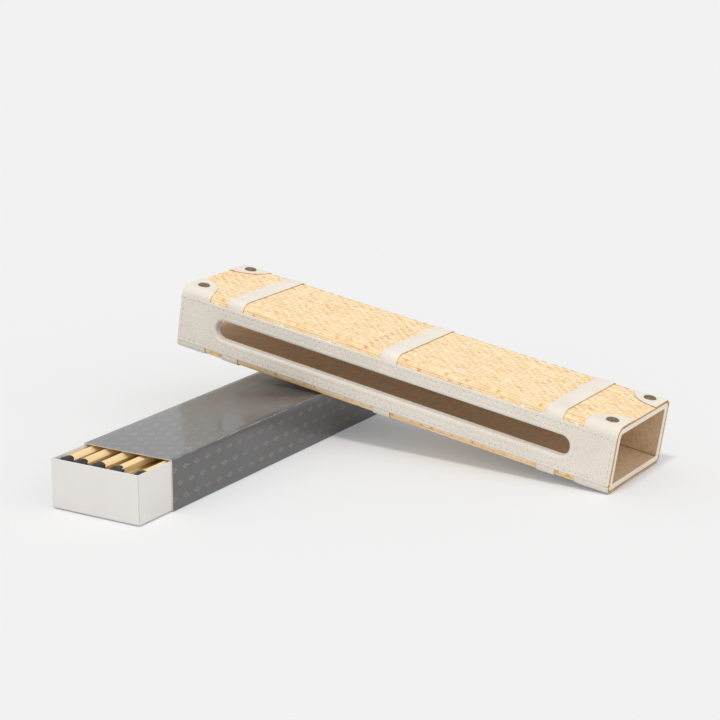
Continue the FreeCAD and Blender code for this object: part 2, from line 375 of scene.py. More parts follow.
class Sketch:
    """A short way to add shader nodes to a tree and to join them."""

    # places of a Mix node's sockets, which share their names
    MIX_SHARE = 0
    MIX_VALUES = (2, 3)
    MIX_COLOURS = (6, 7)
    MIXED_VALUE = 0
    MIXED_COLOUR = 2

    def __init__(self, tree: Tree) -> None:
        """Keeps the tree."""
        self.tree = tree

    def join(self, inputs: Any, feeds: dict[Any, Any]) -> None:
        """Feeds some of a node's inputs.

        Args:
            inputs: the inputs
            feeds: for each one, a socket to link to it or a value to set
        """
        for key, value in feeds.items():
            if isinstance(value, Socket):
                self.tree.links.new(value, inputs[key])
            else:
                inputs[key].default_value = value

    def node(self, kind: str, feeds: dict[Any, Any] | None = None, **settings: Any) -> bpy.types.Node:
        """Adds a node.

        Args:
            kind: the node's type, without the leading ShaderNode
            feeds: for each input, a socket to link to it or a value to set
            settings: the node's own properties

        Returns:
            The node.
        """
        made = self.tree.nodes.new("ShaderNode" + kind)
        for key, value in settings.items():
            setattr(made, key, value)
        self.join(made.inputs, feeds or {})
        return made

    def math(self, operation: str, *values: Any) -> Socket:
        """Adds a Math node and gives its result."""
        return self.node("Math", dict(enumerate(values)), operation=operation).outputs[0]

    def vector(self, operation: str, *values: Any) -> Socket:
        """Adds a Vector Math node and gives its vector."""
        return self.node("VectorMath", dict(enumerate(values)), operation=operation).outputs[0]

    def span(self, value: Any, low: float, high: float, to_low: float, to_high: float) -> Socket:
        """Maps a value smoothly from one range to another and gives the result."""
        feeds = {"Value": value, "From Min": low, "From Max": high, "To Min": to_low, "To Max": to_high}
        return self.node("MapRange", feeds, interpolation_type="SMOOTHSTEP").outputs[0]

    def cloud(self, vector: Any, scale: Any, **more: Any) -> Socket:
        """Adds a noise texture and gives its value."""
        return self.node("TexNoise", {"Vector": vector, "Scale": scale, **more}).outputs[0]

    def mix(self, share: Any, first: Any, second: Any, blend: str = "MIX") -> Socket:
        """Mixes two colours and gives the result."""
        feeds = dict(zip((self.MIX_SHARE, *self.MIX_COLOURS), (share, first, second)))
        return self.node("Mix", feeds, data_type="RGBA", blend_type=blend).outputs[self.MIXED_COLOUR]

    def choose(self, share: Any, first: Any, second: Any) -> Socket:
        """Mixes two values and gives the result."""
        feeds = dict(zip((self.MIX_SHARE, *self.MIX_VALUES), (share, first, second)))
        return self.node("Mix", feeds, data_type="FLOAT").outputs[self.MIXED_VALUE]

    def mapped(self, vector: Any, **amounts: Any) -> Socket:
        """Moves, turns or scales a vector and gives the result."""
        return self.node("Mapping", {"Vector": vector, **amounts}).outputs[0]

    def relief(self, height: Any, depth: float) -> Socket:
        """Gives the normal of a relief, where a height of 1 is the given depth in metres."""
        return self.node("Bump", {"Height": height, "Strength": 1.0, "Distance": depth}).outputs["Normal"]

    def place(self) -> Socket:
        """Gives the piece's own coordinates."""
        return self.node("TexCoord").outputs["Object"]


class Effect(Enum):
    """The effects that several finishes share."""

    PEBBLE = "pebble_grain"
    DRIFT = "tone_drift"
    STREAK = "fibre_streaks"
    FLECK = "stray_flecks"


class Effects:
    """The shared shader node groups, each built once. Scales are per metre."""

    RUFFLE_SCALE = 900.0
    RUFFLE_DETAIL = 2.0
    RUFFLE_REACH = 0.7 * MM
    PORE_SCALE = 4200.0
    PORE_DETAIL = 3.0
    PORE_SHARE = 0.25
    PILLOW_WIDTH = 0.32
    CREASE_WIDTH = 0.15
    TONE_DETAIL = 3.0
    TONE_ROUGHNESS = 0.55
    TONE_RANGE = (0.3, 0.7)
    FIBRE_DETAIL = 4.0
    FIBRE_ROUGHNESS = 0.6
    FIBRE_RANGE = (0.28, 0.72)
    FLECK_DETAIL = 1.0
    FLECK_EDGE = 0.06

    def __init__(self) -> None:
        """Builds the groups."""
        self.groups = {
            Effect.PEBBLE: self._pebble(),
            Effect.DRIFT: self._drift(),
            Effect.STREAK: self._streak(),
            Effect.FLECK: self._fleck(),
        }

    def use(self, sketch: Sketch, effect: Effect, **feeds: Any) -> bpy.types.NodeOutputs:
        """Places an effect in a material.

        Args:
            sketch: the material's tree
            effect: the effect
            feeds: its inputs

        Returns:
            The effect's outputs.
        """
        return sketch.node("Group", feeds, node_tree=self.groups[effect]).outputs

    @staticmethod
    def _start(effect: Effect, inputs: dict[str, str], outputs: Sequence[str]) -> tuple[Sketch, Any, Any]:
        """Starts a group.

        Args:
            effect: the effect
            inputs: each input's name and socket kind
            outputs: the names of its values

        Returns:
            The sketch of its tree, its inputs and its outputs.
        """
        tree = bpy.data.node_groups.new(effect.value, "ShaderNodeTree")
        for name, kind in inputs.items():
            tree.interface.new_socket(name, in_out="INPUT", socket_type="NodeSocket" + kind)
        for name in outputs:
            tree.interface.new_socket(name, in_out="OUTPUT", socket_type="NodeSocketFloat")
        start, stop = tree.nodes.new("NodeGroupInput"), tree.nodes.new("NodeGroupOutput")
        return Sketch(tree), start.outputs, stop.inputs

    def _pebble(self) -> Tree:
        """Builds leather pebbles: their height and the creases between them."""
        inputs = {"Vector": "Vector", "Cells": "Float"}
        sketch, given, wanted = self._start(Effect.PEBBLE, inputs, ("Height", "Crease"))
        place = given["Vector"]
        feeds = {"Vector": place, "Scale": self.RUFFLE_SCALE, "Detail": self.RUFFLE_DETAIL}
        ruffle = sketch.node("TexNoise", feeds).outputs["Color"]
        shift = sketch.vector("MULTIPLY", ruffle, (self.RUFFLE_REACH,) * 3)
        feeds = {"Vector": sketch.vector("ADD", place, shift), "Scale": given["Cells"]}
        edge = sketch.node("TexVoronoi", feeds, feature="DISTANCE_TO_EDGE").outputs["Distance"]
        pores = sketch.cloud(place, self.PORE_SCALE, Detail=self.PORE_DETAIL)
        pillow = sketch.span(edge, 0.0, self.PILLOW_WIDTH, 0.0, 1.0)
        height = sketch.math("ADD", pillow, sketch.math("MULTIPLY", pores, self.PORE_SHARE))
        crease = sketch.span(edge, 0.0, self.CREASE_WIDTH, 1.0, 0.0)
        sketch.join(wanted, {"Height": height, "Crease": crease})
        return sketch.tree

    def _drift(self) -> Tree:
        """Builds a slow change of tone."""
        inputs = {"Vector": "Vector", "Scale": "Float"}
        sketch, given, wanted = self._start(Effect.DRIFT, inputs, ("Tone",))
        detail = {"Detail": self.TONE_DETAIL, "Roughness": self.TONE_ROUGHNESS}
        cloud = sketch.cloud(given["Vector"], given["Scale"], **detail)
        sketch.join(wanted, {"Tone": sketch.span(cloud, *self.TONE_RANGE, 0.0, 1.0)})
        return sketch.tree

    def _streak(self) -> Tree:
        """Builds fine fibres along the first axis of the vector."""
        inputs = {"Vector": "Vector", "Fibre": "Vector"}
        sketch, given, wanted = self._start(Effect.STREAK, inputs, ("Streak",))
        stretched = sketch.vector("MULTIPLY", given["Vector"], given["Fibre"])
        detail = {"Detail": self.FIBRE_DETAIL, "Roughness": self.FIBRE_ROUGHNESS}
        fibre = sketch.cloud(stretched, 1.0, **detail)
        sketch.join(wanted, {"Streak": sketch.span(fibre, *self.FIBRE_RANGE, 0.0, 1.0)})
        return sketch.tree

    def _fleck(self) -> Tree:
        """Builds sparse small specks."""
        inputs = {"Vector": "Vector", "Scale": "Float", "Share": "Float"}
        sketch, given, wanted = self._start(Effect.FLECK, inputs, ("Fleck",))
        spots = sketch.cloud(given["Vector"], given["Scale"], Detail=self.FLECK_DETAIL)
        above = sketch.math("SUBTRACT", spots, sketch.math("SUBTRACT", 1.0, given["Share"]))
        sketch.join(wanted, {"Fleck": sketch.span(above, 0.0, self.FLECK_EDGE, 0.0, 1.0)})
        return sketch.tree


def new_finish(name: str) -> tuple[Material, Sketch, Any]:
    """Starts a material.

    Args:
        name: the finish's name

    Returns:
        The material, the sketch of its tree and the inputs of its shader.
    """
    material = bpy.data.materials.new(name)
    material.use_nodes = True
    shader = material.node_tree.nodes["Principled BSDF"]
    return material, Sketch(material.node_tree), shader.inputs


@dataclass(frozen=True)
class Finish:
    """What every finish has: its name, and a shader to feed."""

    name: str

    def make(self, effects: Effects) -> Material:
        """Makes the material, with the shared node groups."""
        material, sketch, inputs = new_finish(self.name)
        sketch.join(inputs, self.feeds(sketch, effects))
        return material

    def feeds(self, sketch: Sketch, effects: Effects) -> dict[str, Any]:
        """Gives what the shader's inputs take.

        Args:
            sketch: the material's tree
            effects: the shared node groups

        Returns:
            A socket or a value for each input that isn't left as it is.
        """
        raise NotImplementedError


@dataclass(frozen=True)
class Leather(Finish):
    """Pale hide with a pebbled grain; the creases between the pebbles are darkened as painted shade."""

    light: Colour
    shade: Colour
    # crease: the colour of the painted shade in the creases between the pebbles
    crease: Colour
    pebble: float
    depth: float
    crease_share: float
    roughness: float = 0.55
    crease_dulling: float = 0.2
    top_polish: float = 0.06
    crease_height: float = 0.2
    tone_scale: float = 38.0
    gloss: float = 0.35

    def feeds(self, sketch: Sketch, effects: Effects) -> dict[str, Any]:
        """Lays pebbles and tones, and darkens the creases with painted shade."""
        place = sketch.place()
        grain = effects.use(sketch, Effect.PEBBLE, Vector=place, Cells=1.0 / self.pebble)
        drift = effects.use(sketch, Effect.DRIFT, Vector=place, Scale=self.tone_scale)
        base = sketch.mix(drift["Tone"], self.light, self.shade)
        # painted shade in the creases between the pebbles
        crease_shaded = sketch.math("MULTIPLY", grain["Crease"], self.crease_share)
        dull, polished = self.roughness + self.crease_dulling, self.roughness - self.top_polish
        return {
            "Base Color": sketch.mix(crease_shaded, base, self.crease),
            "Roughness": sketch.span(grain["Height"], self.crease_height, 1.0, dull, polished),
            "Normal": sketch.relief(grain["Height"], self.depth),
            "Specular IOR Level": self.gloss,
        }


@dataclass(frozen=True)
class Nap(Finish):
    """A dull fibrous surface: suede, paper board, cut leather, thread and card."""

    light: Colour
    shade: Colour
    cloud: float
    fibre: float
    depth: float
    roughness: float = 0.85
    fibre_share: float = 0.35
    sheen: float = 0.0
    gloss: float = 0.25
    fibre_lie: float = 0.6
    fibre_dulling: float = 0.1

    def feeds(self, sketch: Sketch, effects: Effects) -> dict[str, Any]:
        """Lays fibres and tones."""
        place = sketch.place()
        drift = effects.use(sketch, Effect.DRIFT, Vector=place, Scale=1.0 / self.cloud)
        fibre = (1.0 / self.fibre, self.fibre_lie / self.fibre, 1.0 / self.fibre)
        nap = effects.use(sketch, Effect.STREAK, Vector=place, Fibre=fibre)["Streak"]
        base = sketch.mix(drift["Tone"], self.light, self.shade)
        worn = sketch.math("MULTIPLY", nap, self.fibre_share)
        return {
            "Base Color": sketch.mix(worn, base, self.shade),
            "Roughness": sketch.span(nap, 0.0, 1.0, self.roughness, self.roughness + self.fibre_dulling),
            "Normal": sketch.relief(nap, self.depth),
            "Sheen Weight": self.sheen,
            "Specular IOR Level": self.gloss,
        }


@dataclass(frozen=True)
class RaffiaFibre(Finish):
    """Dried palm ribbon; its attribute holds the place along it, the place across it and its tone."""

    tones: tuple[Colour, ...]
    roughness: float = 0.55
    edge_dulling: float = 0.15
    dash_polish: float = 0.05
    dash: tuple[float, float] = (9.0 * MM, 0.45 * MM)
    hair: tuple[float, float] = (45.0 * MM, 0.55 * MM)
    dash_share: float = 0.28
    hair_share: float = 0.3
    fleck_scale: float = 260.0
    fleck_share: float = 0.31
    # how much the sparse flecks darken the ribbon
    fleck_darkening: float = 0.35
    depth: float = 0.06 * MM
    gloss: float = 0.3

    def feeds(self, sketch: Sketch, effects: Effects) -> dict[str, Any]:
        """Colours a ribbon by its own tone and streaks it along its run."""
        ribbon = sketch.node("Attribute", attribute_name="ribbon").outputs["Vector"]
        tone = sketch.node("SeparateXYZ", {0: ribbon}).outputs["Z"]
        fibres = ((1.0 / long, 1.0 / wide, 0.0) for long, wide in (self.dash, self.hair))
        dash, hair = (
            effects.use(sketch, Effect.STREAK, Vector=ribbon, Fibre=fibre)["Streak"] for fibre in fibres
        )
        centred = sketch.math("SUBTRACT", tone, (self.dash_share + self.hair_share) / 2)
        dashed = sketch.math("MULTIPLY_ADD", dash, self.dash_share, centred)
        streaked = sketch.math("MULTIPLY_ADD", hair, self.hair_share, dashed)
        ramp = sketch.node("ValToRGB", {"Fac": streaked})
        stops = ramp.color_ramp.elements
        while len(stops) < len(self.tones):
            stops.new(1.0)
        for index, colour in enumerate(self.tones):
            stops[index].position = index / (len(self.tones) - 1)
            stops[index].color = colour
        specks = {"Vector": sketch.place(), "Scale": self.fleck_scale, "Share": self.fleck_share}
        fleck = effects.use(sketch, Effect.FLECK, **specks)["Fleck"]
        # sparse darker flecks, drawn towards the darkest tone
        darkened_flecks = sketch.math("MULTIPLY", fleck, self.fleck_darkening)
        dull, polished = self.roughness + self.edge_dulling, self.roughness - self.dash_polish
        return {
            "Base Color": sketch.mix(darkened_flecks, ramp.outputs["Color"], self.tones[0]),
            "Roughness": sketch.span(dash, 0.0, 1.0, dull, polished),
            "Normal": sketch.relief(dash, self.depth),
            "Specular IOR Level": self.gloss,
        }


@dataclass(frozen=True)
class AgedMetal(Finish):
    """Dark metal, rubbed lighter in places."""

    dark: Colour
    rubbed: Colour
    roughness: float = 0.42
    plain_dulling: float = 0.14
    scratch_polish: float = 0.1
    blotch_scale: float = 420.0
    scratch: tuple[float, float, float] = (300.0, 2600.0, 2600.0)
    depth: float = 0.02 * MM
    metallic: float = 0.85

    def feeds(self, sketch: Sketch, effects: Effects) -> dict[str, Any]:
        """Lays rubbed places and scratches."""
        place = sketch.place()
        drift = effects.use(sketch, Effect.DRIFT, Vector=place, Scale=self.blotch_scale)
        scratch = effects.use(sketch, Effect.STREAK, Vector=place, Fibre=self.scratch)["Streak"]
        wear = sketch.math("MULTIPLY", drift["Tone"], scratch)
        dull, polished = self.roughness + self.plain_dulling, self.roughness - self.scratch_polish
        return {
            "Base Color": sketch.mix(wear, self.dark, self.rubbed),
            "Roughness": sketch.span(scratch, 0.0, 1.0, dull, polished),
            "Normal": sketch.relief(scratch, self.depth),
            "Metallic": self.metallic,
        }


@dataclass(frozen=True)
class PrintedCard(Finish):
    """Glossy dark card with small gold lozenges in staggered rows, worn pale along its folds."""

    ink: Colour
    ink_light: Colour
    gold: Colour
    bare: Colour
    middle: Vector
    half_width: float
    half_height: float
    row: float = 8.4 * MM
    column: float = 10.6 * MM
    mark: tuple[float, float] = (1.6 * MM, 2.9 * MM)
    rim: tuple[float, float] = (0.88, 1.0)
    hollow: tuple[float, float] = (0.5, 0.62)
    hollow_share: float = 0.15
    tone_scale: float = 30.0
    roughness: tuple[float, float] = (0.2, 0.26)
    foil: tuple[float, float] = (0.34, 0.18)
    foil_metal: float = 0.8
    scuff_dull: float = 0.8
    coat: tuple[float, float] = (0.5, 0.15)
    side_zone: float = 0.25 * MM
    fold_zone: tuple[float, float] = (0.9 * MM, 0.2 * MM)
    rub_stretch: tuple[float, float, float] = (1.0, 0.3, 1.0)
    rub_scale: float = 520.0
    rub_share: float = 0.56
    rub_most: float = 0.35
    rub_least: float = 0.1

    def feeds(self, sketch: Sketch, effects: Effects) -> dict[str, Any]:
        """Prints the marks, varnishes them and rubs the folds."""
        place = sketch.place()
        centred = sketch.mapped(place, Location=tuple(-self.middle))
        parts = sketch.node("SeparateXYZ", {0: centred}).outputs
        outwards = sketch.math("ABSOLUTE", parts["X"])
        on_side = sketch.math("GREATER_THAN", outwards, self.half_width - self.side_zone)
        marks = self._lozenges(sketch, sketch.choose(on_side, parts["X"], parts["Z"]), parts["Y"])
        tone = effects.use(sketch, Effect.DRIFT, Vector=place, Scale=self.tone_scale)["Tone"]
        foil = sketch.math("MULTIPLY", marks, sketch.span(tone, 0.0, 1.0, *self.foil))
        printed = sketch.mix(foil, sketch.mix(tone, self.ink, self.ink_light), self.gold)
        scuff = self._folds(sketch, outwards, parts["Z"], effects, place)
        rough = sketch.span(tone, 0.0, 1.0, *self.roughness)
        return {
            "Base Color": sketch.mix(scuff, printed, self.bare),
            "Metallic": sketch.math("MULTIPLY", foil, self.foil_metal),
            "Roughness": sketch.math("MAXIMUM", rough, sketch.math("MULTIPLY", scuff, self.scuff_dull)),
            "Coat Weight": self.coat[0],
            "Coat Roughness": self.coat[1],
        }

    def _lozenges(self, sketch: Sketch, girth: Any, along: Any) -> Socket:
        """Draws the gold marks.

        Args:
            sketch: the material's tree
            girth: place round the sleeve, from the middle of a face
            along: place along the sleeve

        Returns:
            The mask of the marks.
        """
        rows = sketch.math("DIVIDE", girth, self.row)
        nearest = sketch.math("ROUND", rows)
        odd = sketch.math("ABSOLUTE", sketch.math("MODULO", nearest, 2.0))
        across = sketch.math("MULTIPLY", sketch.math("SUBTRACT", rows, nearest), self.row / self.mark[0])
        columns = sketch.math("MULTIPLY_ADD", odd, 0.5, sketch.math("DIVIDE", along, self.column))
        offset = sketch.math("SUBTRACT", columns, sketch.math("ROUND", columns))
        lengthwise = sketch.math("MULTIPLY", offset, self.column / self.mark[1])
        reach = sketch.math("ADD", sketch.math("ABSOLUTE", across), sketch.math("ABSOLUTE", lengthwise))
        whole = sketch.span(reach, *self.rim, 1.0, 0.0)
        hollow = sketch.span(reach, *self.hollow, self.hollow_share, 1.0)
        return sketch.math("MULTIPLY", whole, hollow)

    def _folds(self, sketch: Sketch, outwards: Any, height: Any, effects: Effects, place: Any) -> Socket:
        """Rubs the ink off along the long folds.

        Args:
            sketch: the material's tree
            outwards: distance from the sleeve's middle plane
            height: distance above the sleeve's middle
            effects: the shared groups
            place: the piece's own coordinates

        Returns:
            The mask of the bare card.
        """
        reaches = ((outwards, self.half_width), (sketch.math("ABSOLUTE", height), self.half_height))
        near_side, near_top = (
            sketch.span(distance, *(edge - zone for zone in self.fold_zone), 0.0, 1.0)
            for distance, edge in reaches
        )
        spots = {"Vector": sketch.mapped(place, Scale=self.rub_stretch), "Scale": self.rub_scale}
        rub = effects.use(sketch, Effect.FLECK, Share=self.rub_share, **spots)["Fleck"]
        bare = sketch.math("MULTIPLY_ADD", rub, self.rub_most, self.rub_least)
        return sketch.math("MULTIPLY", sketch.math("MULTIPLY", near_side, near_top), bare)


@dataclass(frozen=True)
class MatchWood(Finish):
    """Pale split wood with its grain along the match."""

    light: Colour
    dark: Colour
    roughness: float = 0.6
    grain: tuple[float, float, float] = (28.0, 900.0, 900.0)
    tone_stretch: tuple[float, float, float] = (1.0, 0.05, 1.0)
    tone_scale: float = 150.0
    grain_share: float = 0.5
    depth: float = 0.05 * MM
    gloss: float = 0.25

    def feeds(self, sketch: Sketch, effects: Effects) -> dict[str, Any]:
        """Lays the grain and slow tones along the match."""
        place = sketch.place()
        turned = sketch.mapped(place, Rotation=(0.0, 0.0, math.pi / 2))
        grain = effects.use(sketch, Effect.STREAK, Vector=turned, Fibre=self.grain)["Streak"]
        drawn = sketch.mapped(place, Scale=self.tone_stretch)
        drift = effects.use(sketch, Effect.DRIFT, Vector=drawn, Scale=self.tone_scale)["Tone"]
        slow = sketch.math("MULTIPLY", drift, 1.0 - self.grain_share)
        tone = sketch.math("MULTIPLY_ADD", grain, self.grain_share, slow)
        return {
            "Base Color": sketch.mix(tone, self.light, self.dark),
            "Roughness": self.roughness,
            "Normal": sketch.relief(grain, self.depth),
            "Specular IOR Level": self.gloss,
        }


class Finishes:
    """Every material of the set, made once."""

    # the painted shade that every leather's grain creases darken to
    CREASE = seen(150, 136, 118)

    def __init__(self, effects: Effects, sleeve: tuple[Vector, Vector]) -> None:
        """Makes the materials.

        Args:
            effects: the shared node groups
            sleeve: lowest and highest corner of the matchbox sleeve, which its print is centred on
        """
        self.effects = effects
        low, high = sleeve
        self.panel = self._hide("panel_hide", (240, 233, 222), (235, 227, 214), 1.05, 0.06, 0.26)
        self.trim = self._hide("trim_hide", (242, 234, 221), (237, 228, 214), 0.8, 0.025, 0.1)
        self.binding = self._hide("binding_hide", (247, 233, 217), (242, 226, 209), 0.9, 0.025, 0.1)
        self.suede = self._nap(
            "lining_suede", (234, 206, 170), (212, 182, 144), 2.6, 0.9, 0.14, sheen=0.2
        )
        self.cut_hide = self._nap("cut_hide", (204, 172, 134), (182, 150, 112), 6, 0.3, 0.03)
        self.backing = self._nap("backing_cloth", (204, 166, 116), (178, 140, 94), 9, 0.6, 0.05)
        self.board = self._nap("grey_board", (168, 158, 142), (146, 136, 122), 12, 0.7, 0.05)
        self.thread = self._nap(
            "waxed_thread", (240, 233, 221), (226, 216, 200), 5, 0.25, 0.04, roughness=0.6
        )
        # painted shade: darker discs stand for the shadow in the needle holes
        self.needle_hole = self._nap("needle_hole", (188, 176, 160), (168, 155, 138), 2, 0.3, 0.02)
        # painted shade for the channel's inner corners
        self.seam = self._nap("seam_shadow", (158, 128, 92), (136, 106, 74), 5, 0.4, 0.03)
        straw = ((206, 142, 78), (241, 194, 130), (250, 219, 170), (254, 232, 192), (255, 243, 216))
        self.raffia = RaffiaFibre("raffia_ribbon", tuple(seen(*tone) for tone in straw)).make(effects)
        self.bronze = AgedMetal("rivet_bronze", seen(98, 82, 66), seen(176, 151, 121)).make(effects)
        self.sleeve = PrintedCard(
            "printed_card",
            ink=seen(84, 83, 85),
            ink_light=seen(91, 90, 92),
            gold=seen(206, 178, 128),
            bare=seen(160, 155, 148),
            middle=(low + high) / 2,
            half_width=(high.x - low.x) / 2,
            half_height=(high.z - low.z) / 2,
        ).make(effects)
        self.card_core = self._nap("card_core", (233, 222, 205), (220, 206, 186), 9, 0.6, 0.03)
        self.tray = self._nap(
            "tray_card", (229, 225, 221), (225, 220, 215), 40, 0.9, 0.02,
            roughness=0.62, fibre_share=0.2, gloss=0.4,
        )
        # painted shade at the tray's upright folds
        self.tray_fold_shade = self._nap(
            "tray_fold_shade", (206, 196, 190), (200, 190, 184), 40, 0.9, 0.02, roughness=0.7
        )
        self.striker = self._nap(
            "striking_grit", (96, 58, 46), (66, 40, 34), 6, 0.4, 0.1, roughness=0.9, fibre_share=0.6
        )
        self.wood = MatchWood("match_wood", seen(254, 234, 188), seen(243, 207, 145)).make(effects)
        self.head = self._nap(
            "match_head", (80, 80, 82), (60, 60, 62), 3, 0.5, 0.12, roughness=0.78, fibre_share=0.5
        )

    def _hide(
        self, name: str, light: Tone, shade: Tone, pebble: float, depth: float, crease_share: float
    ) -> Material:
        """Makes a leather.

        Args:
            name: the material's name
            light: its palest tone, as seen on a screen
            shade: its darkest tone
            pebble: the width of a pebble, in millimetres
            depth: the depth of the grain, in millimetres
            crease_share: how much the creases are darkened with painted shade

        Returns:
            The material.
        """
        tones = (seen(*light), seen(*shade), self.CREASE)
        return Leather(name, *tones, pebble * MM, depth * MM, crease_share).make(self.effects)

    def _nap(
        self, name: str, light: Tone, shade: Tone, cloud: float, fibre: float, depth: float, **more: float
    ) -> Material:
        """Makes a dull fibrous finish.

        Args:
            name: the material's name
            light: its palest tone, as seen on a screen
            shade: its darkest tone
            cloud: the width of its patches of tone, in millimetres
            fibre: the width of its fibres, in millimetres
            depth: their depth, in millimetres
            more: what else differs from the usual

        Returns:
            The material.
        """
        lengths = (length * MM for length in (cloud, fibre, depth))
        return Nap(name, seen(*light), seen(*shade), *lengths, **more).make(self.effects)


@dataclass(frozen=True)
class HolderFrame:
    """The leaning holder's own frame: x along it to its low mouth, y to the rear, z out of its upper face.

    The origin is the middle of the low mouth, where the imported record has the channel's slide mount.
    """

    matrix: Matrix
    nodes: dict[str, Piece]

    @classmethod
    def read(cls, frame: dict[str, Any]) -> HolderFrame:
        """Finds the holder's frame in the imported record.


        Returns:
            The holder's frame.
        """
        mount = next(item for item in frame["record"]["mounts"] if item["name"] == "holder_channel")
        along = Vector(mount["axis"]).normalized()
        rearwards = Vector((0.0, 1.0, 0.0))
        turn = Matrix((along, rearwards, along.cross(rearwards))).transposed().to_4x4()
        return cls(Matrix.Translation(mount["pos_m"]) @ turn, frame["nodes"])

    def points(self, node: str) -> list[Vector]:
        """Lists a CAD node's points in the holder's frame."""
        inverse = self.matrix.inverted()
        return [inverse @ vert.co for vert in self.nodes[node].data.vertices]

    def box(self, node: str) -> tuple[Vector, Vector]:
        """Finds a CAD node's box in the holder's frame."""
        return box_of(self.points(node))

    def add(
        self, bm: BMesh, name: str, slot: str, finishes: Sequence[Material],
        stands_for: Sequence[str] = (), crease: float = SHARP,
    ) -> Piece:
        """Moves a shape from the holder's frame to the row's and makes it a piece of the holder.

        Args:
            bm: the shape, in the holder's frame
            name: the piece's name
            slot: the record's material slot that its finish belongs to; not used
            finishes: its materials, in the order of the faces' indices
            stands_for: the CAD nodes that it replaces
            crease: edges sharper than this many degrees stay sharp

        Returns:
            The new object, at the origin.
        """
        bm.transform(self.matrix)
        return add_piece(bm, name, Body.HOLDER, finishes, stands_for, crease)


@dataclass(frozen=True)
class Fold:
    """How a sheet lies on one broad face of the holder and round its two long edges.

    Attributes:
        face: the broad face
        half_width: how far the sheet's base stands from the holder's middle plane at the sides
        level: height of the sheet's base on the face
        flat: half of the base's flat width
        skirt: how far the base goes on past the bend
    """

    face: Face
    half_width: float
    level: float
    flat: float
    skirt: float

    @classmethod
    def over(cls, holder: HolderFrame, node: str, face: Face) -> Fold:
        """Reads the fold off the outside of a CAD sheet.

        Args:
            holder: the holder's frame
            node: the sheet's node
            face: the face that it covers

        Returns:
            The fold.
        """
        points = holder.points(node)
        level = face.value * max(face.value * point.z for point in points)
        lip = min(face.value * point.z for point in points)
        half_width = max(point.y for point in points)
        flat = max(point.y for point in points if abs(point.z - level) < SAME_LEVEL)
        skirt = face.value * level - (half_width - flat) - lip
        return cls(face, half_width, level, flat, skirt)

    @property
    def radius(self) -> float:
        """Gives the radius of the base's bend."""
        return self.half_width - self.flat

    @property
    def reach(self) -> float:
        """Gives half of the base's whole width, measured round the bend."""
        return self.flat + self.radius * math.pi / 2 + self.skirt

    def bend(self, point: Vector) -> Vector:
        """Bends a point of the flat sheet round the holder.

        Args:
            point: x along the holder, y across the flat sheet, z above its base

        Returns:
            The point in the holder's frame.
        """
        across = abs(point.y)
        turn = min(max((across - self.flat) / self.radius, 0.0), math.pi / 2)
        past = max(across - self.flat - self.radius * math.pi / 2, 0.0)
        out = self.radius + point.z
        y = min(across, self.flat) + out * math.sin(turn)
        drop = self.radius - out * math.cos(turn) + past
        return Vector((point.x, math.copysign(y, point.y), self.level - self.face.value * drop))


class Course(Enum):
    """The kinds of ribbon in the raffia cloth."""

    FLOAT = "lies on top all along the holder"
    DIP = "runs along the holder and dips under every second cross ribbon"
    CROSS = "runs across the holder and shows only over the dips"


@dataclass(frozen=True)
class Strands:
    """The ribbons of one kind in a weave.

    Attributes:
        course: their kind
        count: how many there are
        crossed: how many ribbons each one crosses
        run: where they start and stop
        field: the strip that they stay in, side by side
        first: how far into the strip the middle of the first one is
        pitch: the distance from one to the next
        half: half of their width
        sides: how many sides they have
        steps: how many steps each crossing has
        tone: their usual tone
        vary: how much the tone differs from one crossing to the next
    """

    course: Course
    count: int
    crossed: int
    run: tuple[float, float]
    field: tuple[float, float]
    first: float
    pitch: float
    half: float
    sides: int
    steps: int
    tone: float
    vary: float

    def blank(self) -> bpy.types.Mesh:
        """Makes a straight ribbon, one unit long and two wide, to be copied and laid."""
        bm = bmesh.new()
        bm.verts.layers.float_vector.new("ribbon")
        bmesh.ops.create_cone(bm, cap_ends=True, segments=self.sides, radius1=1.0, radius2=1.0, depth=1.0)
        runs = [edge for edge in bm.edges if abs(edge.verts[0].co.z - edge.verts[1].co.z) > 0.5]
        cuts = self.crossed * self.steps - 1
        bmesh.ops.subdivide_edges(bm, edges=runs, cuts=cuts, use_grid_fill=True)
        blank = bpy.data.meshes.new("ribbon_blank")
        bm.to_mesh(blank)
        bm.free()
        return blank


